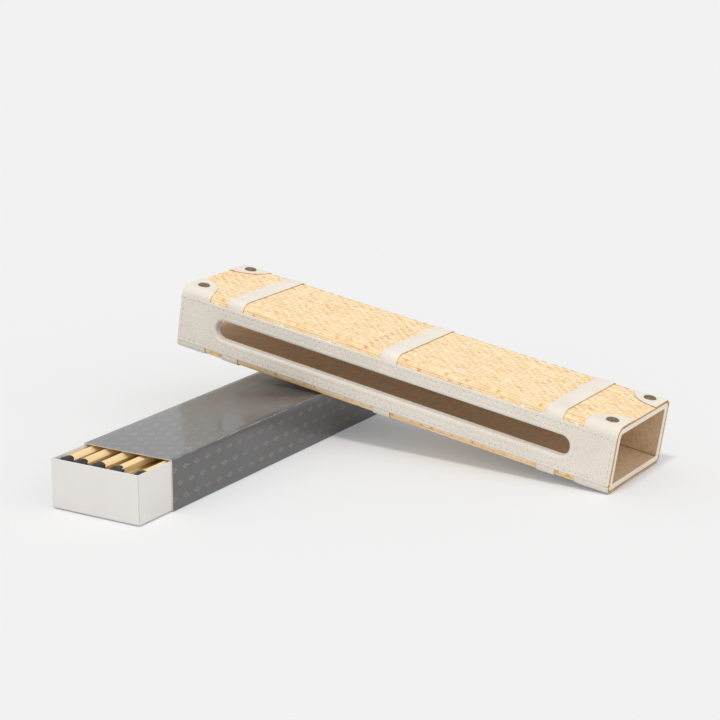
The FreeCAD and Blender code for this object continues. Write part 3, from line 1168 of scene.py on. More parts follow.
@dataclass
class RaffiaCover:
    """Narrow raffia ribbons along one broad face of the holder, with short glimpses of the ones across.

    Attributes:
        holder: the holder's frame
        face: the face that it covers
        fine_pitch: the distance between the ribbons along the holder
        cross_pitch: the distance between those across it
        half_thickness: half of a ribbon's thickness
        bed: the height of the weave's middle, from the CAD sheet
        rise: how far the ribbons go up and down from there
        float_lift: where in the rise the floating ribbons stay
        cross_lift: where in the rise the cross ribbons stay, and how much they wave there
        spread: how much wider a ribbon is on top
        width_range: the least and the most of a ribbon's usual width
        wander: how far a ribbon strays
        wander_length: the length over which it strays
        streak_gap: how far apart two ribbons are in the pattern of their streaks
        ribbon_vary: how much the tone differs from one ribbon to the next
        mottle: how much the tone drifts along a ribbon
        mottle_step: how far the drift gets from one crossing to the next
        noise_span: how far apart the drawn starts of the drifts may be
        bend_share: how strong the dashes are on the bend
        groove: the tone that the ribbons' edges on the bend are darkened to, as painted shade in the gaps
            between them
        dark_place: where along the holder one dark cross ribbon lies
        dark_tone: its tone
        dashes: the tones of the dips, each up to a share of the draws; a dip is darker, partly the
            ribbon's deeper colour, partly painted shade where it runs under
        seed: the start of the draws
    """

    holder: HolderFrame
    face: Face
    fine_pitch: float = 1.53 * MM
    cross_pitch: float = 3.45 * MM
    half_thickness: float = 0.12 * MM
    bed: float = -0.32 * MM
    rise: float = 0.17 * MM
    float_lift: float = 0.75
    cross_lift: tuple[float, float] = (-0.35, 0.3)
    spread: float = 0.16
    width_range: tuple[float, float] = (0.94, 1.08)
    wander: float = 0.22 * MM
    wander_length: float = 14.0 * MM
    streak_gap: float = 0.02
    ribbon_vary: float = 0.04
    mottle: float = 0.24
    mottle_step: float = 0.37
    noise_span: float = 50.0
    bend_share: float = 0.25
    # painted shade for the gaps between the ribbons on the bend
    groove: float = 0.3
    dark_place: float = 0.445
    dark_tone: float = 0.12
    dashes: tuple[tuple[float, float], ...] = ((0.35, 0.5), (0.85, 0.27), (1.0, 0.04))
    seed: int = 11

    def build(self, finish: Material) -> Piece:
        """Weaves the cover.

        Args:
            finish: the raffia

        Returns:
            The woven piece.
        """
        node = "raffia_" + self.face.word
        low, high = self.holder.box(node)
        fold = Fold.over(self.holder, node, self.face)
        chance = random.Random(self.seed + self.face.value)
        ends, sides = (low.x, high.x), (-fold.reach, fold.reach)
        rows = 2 * round(fold.reach / self.fine_pitch)
        fine = 2 * fold.reach / rows
        crosses = round((high.x - low.x) / self.cross_pitch)
        wide = (high.x - low.x) / crosses
        along = {"count": rows // 2, "crossed": crosses, "run": ends, "field": sides, "pitch": fine * 2}
        across = {"count": crosses, "crossed": rows, "run": sides, "field": ends, "pitch": wide}
        kinds = (
            Strands(
                Course.DIP, **along, first=fine * 0.62, half=fine * 0.6,
                sides=6, steps=3, tone=0.72, vary=0.07,
            ),
            Strands(
                Course.FLOAT, **along, first=fine * 1.62, half=fine * 0.37,
                sides=6, steps=2, tone=0.76, vary=0.05,
            ),
            Strands(
                Course.CROSS, **across, first=wide * 0.5, half=wide * 0.52,
                sides=4, steps=1, tone=0.46, vary=0.28,
            ),
        )
        bm = bmesh.new()
        bm.verts.layers.float_vector.new("ribbon")
        for strands in kinds:
            blank = strands.blank()
            for index in range(strands.count):
                self._lay(bm, blank, fold, strands, index, chance)
        return self.holder.add(bm, "woven_" + node, "raffia", [finish], [node], crease=75.0)

    def _tones(self, strands: Strands, index: int, flat: float, chance: random.Random) -> list[float]:
        """Draws the tone of one ribbon at each of its crossings.

        Args:
            strands: the ribbons of this kind
            index: the ribbon's number
            flat: half of the face's flat width; past it, the dashes are fainter
            chance: the seeded draws

        Returns:
            The tones, 0 for the darkest and 1 for the palest.
        """
        usual, vary = chance.gauss(strands.tone, self.ribbon_vary), strands.vary
        start = chance.uniform(0.0, self.noise_span)
        if strands.course is Course.CROSS and index == int(self.dark_place * strands.count):
            usual, vary = self.dark_tone, 0.0
        on_bend = abs(strands.field[0] + strands.first + strands.pitch * index) > flat
        tones = []
        for crossing in range(strands.crossed + 2):
            tone = usual + self.mottle * noise.noise(Vector((start, crossing * self.mottle_step, 0.0)))
            # a dipping ribbon is drawn darker: partly its deeper colour, partly painted shade under the
            # cross ribbon
            if strands.course is Course.DIP and self._lift(strands.course, crossing, index) < 0.0:
                draw = chance.random()
                tone = next(dash for share, dash in self.dashes if draw <= share)
                if on_bend:
                    tone = usual + (tone - usual) * self.bend_share
            tones.append(min(max(chance.gauss(tone, vary), self.dark_tone), 1.0))
        return tones

    def _lift(self, course: Course, phase: float, index: int) -> float:
        """Tells how a ribbon lies at a crossing.

        Args:
            course: its kind
            phase: the number of the crossing, with parts between
            index: the ribbon's number

        Returns:
            1 on top, -1 underneath and values between.
        """
        if course is Course.FLOAT:
            return self.float_lift
        if course is Course.DIP:
            return math.cos(math.pi * (phase + index))
        level, wave = self.cross_lift
        return level - wave * math.cos(math.pi * (phase / 2 + index))

    def _lay(
        self, bm: BMesh, blank: bpy.types.Mesh, fold: Fold, strands: Strands, index: int,
        chance: random.Random,
    ) -> None:
        """Lays one ribbon over and under those that it crosses.

        Args:
            bm: the shape to add to
            blank: a straight ribbon of this kind
            fold: how the cover lies
            strands: the ribbons of this kind
            index: the ribbon's number
            chance: the seeded draws
        """
        start, stop = strands.run
        near, far = strands.field
        middle = near + strands.first + strands.pitch * index
        cross = strands.course is Course.CROSS
        half = strands.half * chance.uniform(*self.width_range)
        drift = chance.uniform(0.0, self.noise_span)
        tones = self._tones(strands, index, fold.flat, chance)
        layer = bm.verts.layers.float_vector["ribbon"]
        first = len(bm.verts)
        bm.from_mesh(blank)
        bm.verts.ensure_lookup_table()
        for vert in bm.verts[first:]:
            across, up, along = vert.co
            place = start + (along + 0.5) * (stop - start)
            phase = (along + 0.5) * strands.crossed - 0.5
            lift = self._lift(strands.course, phase, index)
            aside = half * (1.0 + self.spread * lift) * across
            before, share = divmod(max(phase, 0.0), 1.0)
            tone = tones[int(before)] * (1.0 - share) + tones[int(before) + 1] * share
            # painted shade: on the bend, each ribbon's edges are darkened towards the groove tone, where
            # the gaps between ribbons are shaded
            if not cross and abs(middle) > fold.flat:
                tone += (self.groove - tone) * across * across
            vert[layer] = Vector((place, aside + self.streak_gap * index + cross, tone))
            aside += middle + self.wander * noise.noise(Vector((drift, place / self.wander_length, 0.0)))
            aside = min(max(aside, near), far)
            z = self.bed + self.rise * lift + self.half_thickness * up
            vert.co = fold.bend(Vector((aside, place, z) if cross else (place, aside, z)))


@dataclass
class LeatherTrim:
    """The straps across the holder's broad faces and the patches on their corners."""

    holder: HolderFrame
    edge: float = 0.14 * MM
    edge_segments: int = 3
    cut_turn: float = 0.9
    strap_cuts: int = 84
    corner: float = 20.6 * MM
    small_corner: float = 0.5 * MM
    patch_steps: tuple[int, int, int] = (8, 10, 10)
    patch_shares: tuple[float, ...] = (0.0, 0.1, 0.22, 0.36, 0.5, 0.64, 0.78, 0.9)
    rim: float = 0.42 * MM
    sunk: float = 0.02 * MM
    rivet_inset: tuple[float, float] = (8.8 * MM, 25.7 * MM)
    seat_radius: float = 3.723 * MM
    seat_share: float = 0.03
    dimple: float = 0.22 * MM

    def build(self, hides: dict[Face, Material], cut: Material) -> list[Piece]:
        """Makes the six straps and the eight patches.

        Args:
            hides: the leather of each broad face's trim
            cut: its cut edge

        Returns:
            The pieces.
        """
        made = []
        for face, hide in hides.items():
            fold = Fold.over(self.holder, "raffia_" + face.word, face)
            for place in ("left", "middle", "right"):
                made.append(self._strap(f"{face.word}_strap_{place}", fold, hide, cut))
            for side in Side:
                for end in End:
                    node = f"{face.word}_patch_{side.word}_{end.word}"
                    made.append(self._patch(node, fold, side, end, hide, cut))
        return made

    def _thickness(self, node: str, fold: Fold) -> float:
        """Finds how thick a piece of leather is."""
        low, high = self.holder.box(node)
        outer = high.z if fold.face is Face.TOP else low.z
        return abs(outer - fold.level)

    def _strap(self, node: str, fold: Fold, hide: Material, cut: Material) -> Piece:
        """Bends a flat strap round the holder.

        Args:
            node: the CAD strap
            fold: the surface that it lies on
            hide: the leather
            cut: its cut edge

        Returns:
            The strap.
        """
        low, high = self.holder.box(node)
        thick = self._thickness(node, fold)
        size = Vector((high.x - low.x, 2 * fold.reach, thick))
        place = Matrix.Translation(((low.x + high.x) / 2, 0.0, thick / 2)) @ Matrix.Diagonal((*size, 1.0))
        bm = bmesh.new()
        bmesh.ops.create_cube(bm, size=1.0, matrix=place)
        for face in bm.faces:
            face.material_index = int(abs(face.normal.x) > self.cut_turn)
        rims = [edge for edge in all_along(bm, size.y) if edge.verts[0].co.z > thick / 2]
        bmesh.ops.bevel(
            bm, geom=rims, offset=self.edge, segments=self.edge_segments, profile=0.5, affect="EDGES",
            material=-1,
        )
        divide_runs(bm, size.y, self.strap_cuts)
        for vert in bm.verts:
            vert.co = fold.bend(vert.co)
        return self.holder.add(bm, "leather_" + node, "trim_leather", [hide, cut], [node], crease=60.0)

    def _patch(self, node: str, fold: Fold, side: Side, end: End, hide: Material, cut: Material) -> Piece:
        """Lofts a corner patch from its outline to the pressed seat of its rivet.

        Args:
            node: the CAD patch
            fold: the surface that it lies on
            side: the long side that it bends round
            end: the end that it closes
            hide: the leather
            cut: its cut edge

        Returns:
            The patch.
        """
        low, high = self.holder.box(node)
        thick = self._thickness(node, fold)
        length = high.x - low.x
        depth = min(abs(low.y), abs(high.y))
        tip = high.x if end is End.RIGHT else low.x
        inwards = -end.value
        radii = (self.corner, *[self.small_corner] * 3)
        outline = rounded_loop((0.0, depth), (length, fold.reach), radii, self.patch_steps)
        rivet = Vector(self.rivet_inset)
        eased = self.edge * EASED
        below = [(share, 0.0, -self.sunk, 0) for share in (*self.patch_shares, 1.0)]
        rim = [
            (1.0, 0.0, thick - self.edge, 1),
            (1.0, eased, thick - eased, 0),
            (1.0, self.edge, thick, 0),
            (1.0, self.rim, thick, 0),
        ]
        above = [(share, 0.0, thick, 0) for share in reversed(self.patch_shares[1:])]
        seat = [(self.seat_share, 0.0, thick - self.sunk, 0), (0.0, 0.0, thick - self.dimple, 0)]

        def ring(share: float, inset: float, height: float) -> list[Vector]:
            """Lays one ring between the rivet's seat and the outline."""
            points = []
            for point in outline:
                way = point - rivet
                span = self.seat_radius + (way.length - self.seat_radius) * share - inset
                flat = rivet + way.normalized() * span
                points.append(fold.bend(Vector((tip + inwards * flat.x, side.value * flat.y, height))))
            return points

        loft = RingLoft(ring(*below[0][:3]))
        for share, inset, height, finish in below[1:] + rim + above + seat:
            loft.grow(ring(share, inset, height), finish)
        bm = loft.close()
        return self.holder.add(bm, "leather_" + node, "trim_leather", [hide, cut], [node], crease=60.0)


@dataclass
class SidePanels:
    """The two stitched side panels, each with its long slot, its thread and its needle holes, whose shadow
    is painted on dark discs.
    """

    holder: HolderFrame
    binding: float = 0.6 * MM
    corners: tuple[float, float] = (0.7 * MM, 1.4 * MM)
    edge: float = 0.4 * MM
    turn: float = 1.45 * MM
    seam_inset: float = 2.1 * MM
    slot_seam: float = 3.4 * MM
    groove: float = 0.12 * MM
    groove_half: float = 0.45 * MM
    seam_margin: float = 1.2 * MM
    least_corner: float = 0.3 * MM
    slot_flat: float = 0.15 * MM
    turn_steps: int = 4
    cut_turn: float = 0.8
    cut_zone: float = 0.49
    pitch: float = 3.7 * MM
    thread_half: tuple[float, float] = (0.3 * MM, 0.2 * MM)
    thread_share: float = 0.36
    hole: tuple[float, float] = (0.35 * MM, 0.22 * MM)
    hole_range: tuple[float, float] = (0.6, 1.1)
    hole_depth: float = 0.12 * MM
    hole_lift: float = 0.02 * MM
    seed: int = 5
    steps: tuple[int, int, int] = (7, 60, 6)

    def build(self, hide: Material, cut: Material, thread: Material, hole: Material) -> list[Piece]:
        """Makes both panels with their stitching.

        Args:
            hide: the leather
            cut: its cut edge
            thread: the thread
            hole: the painted shade of the needle holes

        Returns:
            The pieces.
        """
        made = []
        for side in Side:
            made.append(self._panel(side, hide, cut))
            made.extend(self._stitches(side, thread, hole))
        return made

    def _outline(self, side: Side, inset: float) -> list[Vector]:
        """Lays points round the panel.

        Args:
            side: the panel's side
            inset: how far inside its edge

        Returns:
            The points, along the holder and up it.
        """
        low, high = self.holder.box(f"{side.word}_side_panel")
        upper, lower = (max(radius - inset, self.least_corner) for radius in self.corners)
        corners = ((low.x + inset, low.z + inset), (high.x - inset, high.z - inset))
        return rounded_loop(*corners, (lower, upper, upper, lower), self.steps)

    def _slot(self, side: Side, outset: float) -> list[Vector]:
        """Lays points round the slot.

        Args:
            side: the panel's side
            outset: how far outside its edge

        Returns:
            The points, along the holder and up it.
        """
        low, high = self.holder.box(f"{side.word}_slot_binding")
        grown = outset - self.binding
        corners = ((low.x - grown, low.z - grown), (high.x + grown, high.z + grown))
        radius = (corners[1][1] - corners[0][1]) / 2 - self.slot_flat
        return rounded_loop(*corners, (radius,) * 4, self.steps)

    def _panel(self, side: Side, hide: Material, cut: Material) -> Piece:
        """Lofts a panel from its outer edge, over its face, into the slot.

        Args:
            side: the panel's side
            hide: the leather
            cut: its cut edge

        Returns:
            The panel.
        """
        node = f"{side.word}_side_panel"
        low, high = self.holder.box(node)
        inner = min(abs(low.y), abs(high.y))
        thick = abs(high.y - low.y)

        def ring(points: Sequence[Vector], height: float) -> list[Vector]:
            """Stands a ring on the holder's side."""
            return [Vector((point.x, side.value * (inner + height), point.y)) for point in points]

        def pinch(outline: Callable[[Side, float], list[Vector]], middle: float) -> list[list[Vector]]:
            """Lays the three rings of a seam's groove."""
            offsets = ((-self.groove_half, 0.0), (0.0, self.groove), (self.groove_half, 0.0))
            return [ring(outline(side, middle + shift), thick - sink) for shift, sink in offsets]

        edge, eased, turn = self.edge, self.edge * EASED, self.turn
        rings = [
            ring(self._outline(side, inset), thick - sink)
            for inset, sink in ((0.0, thick), (0.0, edge), (eased, eased), (edge, 0.0))
        ]
        rings += pinch(self._outline, self.seam_inset)
        near = self._outline(side, self.seam_inset + self.seam_margin)
        far = self._slot(side, self.slot_seam + self.seam_margin)
        for share in (0.0, 0.5, 1.0):
            rings.append(ring([a.lerp(b, share) for a, b in zip(near, far)], thick))
        rings += reversed(pinch(self._slot, self.slot_seam))
        for step in range(self.turn_steps + 1):
            angle = step / self.turn_steps * math.pi / 2
            outset = turn * (1.0 - math.sin(angle))
            rings.append(ring(self._slot(side, outset), thick - turn * (1.0 - math.cos(angle))))
        rings.append(ring(self._slot(side, 0.0), 0.0))
        bm = RingLoft.through(rings).close()
        bm.normal_update()
        for face in bm.faces:
            from_middle = abs(face.calc_center_median().x - (low.x + high.x) / 2)
            at_end = abs(face.normal.x) > self.cut_turn and from_middle > self.cut_zone * (high.x - low.x)
            if side is Side.FRONT and at_end:
                face.material_index = 1
        name = f"{side.word}_hide_panel"
        return self.holder.add(bm, name, "panel_leather", [hide, cut], [node], crease=50.0)

    def _stitches(self, side: Side, thread: Material, hole: Material) -> list[Piece]:
        """Sews a panel round its edge and round its slot.

        Args:
            side: the panel's side
            thread: the thread
            hole: the painted shade of the needle holes

        Returns:
            The thread and the dark discs of painted shade in the needle holes.
        """
        node = f"{side.word}_side_panel"
        low, high = self.holder.box(node)
        level = max(abs(low.y), abs(high.y)) - self.groove
        sewn, hole_shade_discs = bmesh.new(), bmesh.new()
        out = Vector((0.0, side.value, 0.0))
        chance = random.Random(self.seed)
        lines = (self._outline(side, self.seam_inset), self._slot(side, self.slot_seam))
        for line, hole_radius in zip(lines, self.hole):
            for point, way in walk(line, self.pitch):
                along = Vector((way.x, 0.0, way.y))
                spot = Vector((point.x, side.value * level, point.y))
                turn = Matrix((along.cross(out), out, along)).transposed().to_4x4()
                bed = Matrix.Translation(spot + along * self.pitch / 2) @ turn
                size = Matrix.Diagonal((*self.thread_half, self.pitch * self.thread_share, 1.0))
                bmesh.ops.create_uvsphere(sewn, u_segments=6, v_segments=4, radius=1.0, matrix=bed @ size)
                # painted shade: a dark disc in each needle hole stands for its shadow
                pit = Matrix.Translation(spot + out * self.hole_lift) @ turn
                radius = hole_radius * chance.uniform(*self.hole_range)
                bmesh.ops.create_cone(
                    hole_shade_discs, cap_ends=True, cap_tris=False, segments=6, radius1=radius, radius2=radius,
                    depth=self.hole_depth, matrix=pit @ Matrix.Rotation(math.pi / 2, 4, "X"),
                )
        return [
            self.holder.add(sewn, f"{side.word}_stitching", "panel_leather", [thread], crease=80.0),
            self.holder.add(hole_shade_discs, f"{side.word}_needle_holes", "panel_leather", [hole]),
        ]


@dataclass
class MouthBindings:
    """The padded leather bands round the holder's two mouths."""

    holder: HolderFrame
    inner_corners: tuple[float, float] = (2.0 * MM, 0.7 * MM)
    outer_corners: tuple[float, float] = (3.8 * MM, 2.2 * MM)
    lip: float = 0.3 * MM
    steps: tuple[int, int, int] = (8, 24, 14)
    section: tuple[tuple[float, float], ...] = (
        (0.0, 0.0), (0.0, 0.4), (0.03, 0.7), (0.1, 0.9), (0.25, 1.0), (0.5, 1.06), (0.8, 1.0),
        (0.93, 0.86), (0.985, 0.6), (1.0, 0.3), (1.0, 0.0),
    )

    def build(self, hide: Material) -> list[Piece]:
        """Lofts the two bands.

        Args:
            hide: the leather

        Returns:
            The bands.
        """
        return [self._band(end, hide) for end in End]

    def _band(self, end: End, hide: Material) -> Piece:
        """Lofts one band.

        Args:
            end: the holder's end
            hide: the leather

        Returns:
            The band.
        """
        node = f"{end.word}_end_binding"
        low, high = self.holder.box(node)
        floor, ceiling = self.holder.box("floor_lining")[1].z, self.holder.box("ceiling_lining")[0].z
        front, rear = self.holder.box("front_lining")[1].y, self.holder.box("rear_lining")[0].y
        upper, lower = self.inner_corners
        inner = rounded_loop(
            (front + self.lip, floor + self.lip), (rear - self.lip, ceiling - self.lip),
            (lower, upper, upper, lower), self.steps,
        )
        upper, lower = self.outer_corners
        outer = rounded_loop((low.y, low.z), (high.y, high.z), (lower, upper, upper, lower), self.steps)
        thick = high.x - low.x
        back = low.x if end is End.RIGHT else high.x
        rings = [
            [Vector((back + end.value * rise * thick, *a.lerp(b, share))) for a, b in zip(inner, outer)]
            for share, rise in self.section
        ]
        bm = RingLoft.through(rings).close()
        name = f"{end.word}_mouth_band"
        return self.holder.add(bm, name, "binding_leather", [hide], [node], crease=60.0)


@dataclass
class ChannelSeams:
    """Dark cords along the long inner corners of the lined channel: seams, darkened as painted shade in
    those corners.
    """

    holder: HolderFrame
    radius: float = 0.32 * MM
    short: float = 0.3 * MM
    sides: int = 8
    cuts: int = 60

    def build(self, cord: Material) -> Piece:
        """Runs a cord along each of the four corners.

        Args:
            cord: the cords' finish, a painted corner shade

        Returns:
            The four cords, as one piece.
        """
        floor_low, floor_high = self.holder.box("floor_lining")
        levels = (floor_high.z, self.holder.box("ceiling_lining")[0].z)
        walls = (self.holder.box("front_lining")[1].y, self.holder.box("rear_lining")[0].y)
        length = floor_high.x - floor_low.x - 2 * self.short
        turn = Matrix.Rotation(math.pi / 2, 4, "Y")
        bm = bmesh.new()
        for level in levels:
            for wall in walls:
                place = Matrix.Translation(((floor_low.x + floor_high.x) / 2, wall, level))
                bmesh.ops.create_cone(
                    bm, cap_ends=True, segments=self.sides, radius1=self.radius, radius2=self.radius,
                    depth=length, matrix=place @ turn,
                )
        divide_runs(bm, length, self.cuts)
        return self.holder.add(bm, "channel_seams", "lining", [cord])


@dataclass
class Rivets:
    """The eight low rivets that hold the corner patches."""

    holder: HolderFrame
    profile: tuple[tuple[float, float], ...] = (
        (0.0, 0.78), (1.2, 0.76), (2.1, 0.68), (2.6, 0.56), (2.85, 0.44), (3.0, 0.44), (3.25, 0.52),
        (3.5, 0.42), (3.65, 0.2), (3.65, -0.3), (0.0, -0.3),
    )
    turns: int = 32
    weld: float = 0.005 * MM

    def build(self, metal: Material) -> Piece:
        """Spins one rivet's profile and sets it at each rivet of the frame.

        Args:
            metal: the rivets' metal

        Returns:
            The eight rivets, as one piece.
        """
        inverse = self.holder.matrix.inverted()
        bm = bmesh.new()
        for solid in solids_of(self.holder.nodes["rivet_caps"]):
            low, high = box_of(inverse @ point for point in solid)
            face = Face.TOP if (low.z + high.z) > 0.0 else Face.BOTTOM
            patch_low, patch_high = self.holder.box(f"{face.word}_patch_front_left")
            level = patch_high.z if face is Face.TOP else patch_low.z
            seat = Vector(((low.x + high.x) / 2, (low.y + high.y) / 2, level))
            self._spin(bm, seat, face)
        bmesh.ops.remove_doubles(bm, verts=bm.verts, dist=self.weld)
        return self.holder.add(bm, "bronze_rivets", "rivet_metal", [metal], ["rivet_caps"], crease=50.0)

    def _spin(self, bm: BMesh, seat: Vector, face: Face) -> None:
        """Adds one rivet.

        Args:
            bm: the shape to add to
            seat: the middle of its foot
            face: the face that it stands on
        """
        line = [
            bm.verts.new(seat + Vector((radius * MM, 0.0, face.value * height * MM)))
            for radius, height in self.profile
        ]
        edges = [bm.edges.new(pair) for pair in zip(line, line[1:])]
        bmesh.ops.spin(
            bm, geom=line + edges, cent=seat, axis=(0.0, 0.0, 1.0), angle=math.tau, steps=self.turns,
            use_merge=True,
        )


@dataclass
class Matchbox:
    """The folded card sleeve and the tray that slides in it."""

    card: float = 0.5 * MM
    fold: float = 0.7 * MM
    inner_fold: float = 0.2 * MM
    sag: float = 0.1 * MM
    sag_reach: float = 30.0 * MM
    ripple: float = 0.08 * MM
    ripple_length: tuple[float, float] = (45.0 * MM, 30.0 * MM)
    ripple_start: float = 0.4
    rings: int = 36
    tray_wall: float = 1.0 * MM
    tray_fold: float = 0.7 * MM
    inner_tray_fold: float = 0.3 * MM
    # which faces get the painted fold shade
    fold_shade_turn: float = 0.3
    sleeve_steps: tuple[int, int, int] = (4, 16, 8)
    tray_steps: tuple[int, int, int] = (4, 14, 40)

    def build_sleeve(self, printed: Material, core: Material) -> Piece:
        """Lofts the sleeve: its outside from mouth to mouth, and its inside back again.

        Args:
            printed: the printed outside
            core: the card's cut edges and inside

        Returns:
            The sleeve.
        """
        low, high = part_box("matchbox_sleeve")
        places = [k / self.rings for k in range(self.rings + 1)]

        def ring(place: float, inset: float) -> list[Vector]:
            """Lays one ring of the tube."""
            y = low.y + place * (high.y - low.y)
            corner = max(self.fold - inset, self.inner_fold)
            corners = ((low.x + inset, low.z + inset), (high.x - inset, high.z - inset))
            loop = rounded_loop(*corners, (corner,) * 4, self.sleeve_steps)
            return [self._settle(Vector((point.x, y, point.y)), low, high) for point in loop]

        loft = RingLoft.through([ring(place, 0.0) for place in places])
        for place in reversed(places):
            loft.grow(ring(place, self.card), 1)
        bm = loft.close(1)
        return add_piece(
            bm, "card_sleeve", Body.MATCHBOX, [printed, core], ["matchbox_sleeve"],
            crease=40.0,
        )

    def _settle(self, point: Vector, low: Vector, high: Vector) -> Vector:
        """Lets the sleeve's top sag a hair at its mouths and ripple along its length.

        Args:
            point: a point of the sleeve
            low: the sleeve's lowest corner
            high: the sleeve's highest corner

        Returns:
            The settled point.
        """
        if point.z < (low.z + high.z) / 2:
            return point
        share = 2 * (point.x - low.x) / (high.x - low.x) - 1
        bow = max(1 - share * share, 0.0)
        mouth = math.exp(-min(point.y - low.y, high.y - point.y) / self.sag_reach)
        length, width = self.ripple_length
        wave = self.ripple * noise.noise(Vector((point.y / length, point.x / width, self.ripple_start)))
        return point - Vector((0.0, 0.0, bow * (self.sag * mouth + abs(wave))))

    def build_tray(self, card: Material, crease: Material) -> Piece:
        """Lofts the tray: up its outside, over its rim and down its inside.

        Args:
            card: the white card
            crease: the card at the folds of the upright corners, darkened as painted shade

        Returns:
            The tray.
        """
        low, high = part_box("match_tray")
        fold, wall = self.tray_fold, self.tray_wall
        lip = wall / 2
        base, rim = low.z + wall, high.z - lip
        eased, eased_lip = fold * EASED, lip * EASED

        def ring(inset: float, height: float) -> list[Vector]:
            """Lays one ring of the tray's wall."""
            corner = max(fold - inset, self.inner_tray_fold)
            corners = ((low.x + inset, low.y + inset), (high.x - inset, high.y - inset))
            loop = rounded_loop(*corners, (corner,) * 4, self.tray_steps)
            return [Vector((point.x, point.y, height)) for point in loop]

        section = (
            (fold, low.z), (eased, low.z + eased), (0.0, low.z + fold), (0.0, low.z + fold * 2),
            (0.0, rim), (eased_lip, high.z - eased_lip), (lip, high.z),
            (wall - eased_lip, high.z - eased_lip), (wall, rim),
            (wall, base + fold), (wall + eased, base + eased), (wall + fold, base),
        )
        bm = RingLoft.through([ring(*place) for place in section]).cap()
        bm.normal_update()
        for face in bm.faces:
            # painted shade: the faces that round the upright corners get the darker fold finish
            if min(abs(face.normal.x), abs(face.normal.y)) > self.fold_shade_turn:
                face.material_index = 1
        return add_piece(
            bm, "card_tray", Body.TRAY, [card, crease], ["match_tray"], crease=40.0
        )


@dataclass
class Matches:
    """The long matches in the tray."""

    nodes: dict[str, Piece]
    roll: tuple[float, float] = (12.0, 42.0)
    bow: float = 0.25 * MM
    rise_share: float = 0.6
    edge: float = 0.3 * MM
    edge_segments: int = 2
    cuts: int = 9
    blunt: float = 2.8
    taper: float = 0.1
    head_share: float = 0.98
    subdivisions: int = 4
    pole: float = 0.001
    lump: float = 0.4 * MM
    lump_sink: float = 0.35
    nose_share: float = 0.3
    lump_scale: tuple[float, float] = (1.3, 2.2)
    grit_scale: tuple[float, float] = (4.0, 6.0)
    grit_share: float = 0.35
    noise_span: float = 90.0
    seed: int = 23

    def build(self, wood: Material, head: Material) -> list[Piece]:
        """Makes the sticks and their heads.

        Args:
            wood: the sticks' wood
            head: the heads' paste

        Returns:
            The sticks and the heads, a piece each.
        """
        chance = random.Random(self.seed)
        sticks, heads = bmesh.new(), bmesh.new()
        for solid in solids_of(self.nodes["match_sticks"]):
            self._stick(sticks, *box_of(solid), chance)
        for solid in solids_of(self.nodes["match_heads"]):
            self._head(heads, *box_of(solid), chance)
        made = (
            (sticks, "wood_sticks", "match_wood", wood, "match_sticks", 40.0),
            (heads, "dipped_heads", "match_head", head, "match_heads", 80.0),
        )
        return [
            add_piece(bm, name, Body.TRAY, [finish], [node], crease)
            for bm, name, slot, finish, node, crease in made
        ]

    def _stick(self, bm: BMesh, low: Vector, high: Vector, chance: random.Random) -> None:
        """Adds one square stick, a little rolled and bowed.

        Args:
            bm: the shape to add to
            low: lowest corner of its solid
            high: highest corner of its solid
            chance: the seeded draws
        """
        one = bmesh.new()
        size, middle = high - low, (low + high) / 2
        bmesh.ops.create_cube(one, size=1.0, matrix=Matrix.Diagonal((*size, 1.0)))
        bmesh.ops.bevel(
            one, geom=all_along(one, size.y), offset=self.edge, segments=self.edge_segments, profile=0.5,
            affect="EDGES", material=-1,
        )
        divide_runs(one, size.y, self.cuts)
        turn = Matrix.Rotation(math.radians(chance.uniform(*self.roll)), 4, "Y")
        aside, rise = chance.uniform(-1.0, 1.0), chance.uniform(-self.rise_share, self.rise_share)
        bow = Vector((aside, 0.0, rise)) * self.bow
        for vert in one.verts:
            share = 2 * vert.co.y / size.y
            vert.co = middle + turn @ vert.co + bow * (1 - share * share)
        spare = bpy.data.meshes.new("stick_blank")
        one.to_mesh(spare)
        one.free()
        bm.from_mesh(spare)
        bpy.data.meshes.remove(spare)

    def _head(self, bm: BMesh, low: Vector, high: Vector, chance: random.Random) -> None:
        """Adds one dipped head: a blunt nose that narrows to the stick, with lumps.

        Args:
            bm: the shape to add to
            low: lowest corner of its solid
            high: highest corner of its solid
            chance: the seeded draws
        """
        middle, half = (low + high) / 2, (high - low) / 2
        start = chance.uniform(0.0, self.noise_span)

        def bumps(point: Vector, scale: tuple[float, float]) -> float:
            """Gives the height of the lumps at a point, with their scale across the head and along it."""
            across, along = scale
            return noise.noise(Vector((start + point.x * across, point.y * along, point.z * across)))

        for vert in bmesh.ops.create_icosphere(bm, subdivisions=self.subdivisions, radius=1.0)["verts"]:
            x, y, z = vert.co
            thin = math.hypot(x, z)
            full = max(1.0 - abs(y) ** self.blunt, 0.0) ** (1.0 / self.blunt)
            full *= 1.0 - self.taper * max(y, 0.0)
            x, z = (x * full / thin, z * full / thin) if thin > self.pole else (x, z)
            point = Vector((x, y, z))
            rough = bumps(point, self.lump_scale) + self.grit_share * bumps(point, self.grit_scale)
            body = Vector((x * half.x, y * half.y * self.head_share, z * half.z))
            swell = Vector((x, y * self.nose_share, z)) * self.lump * (rough - self.lump_sink)
            vert.co = middle + body + swell


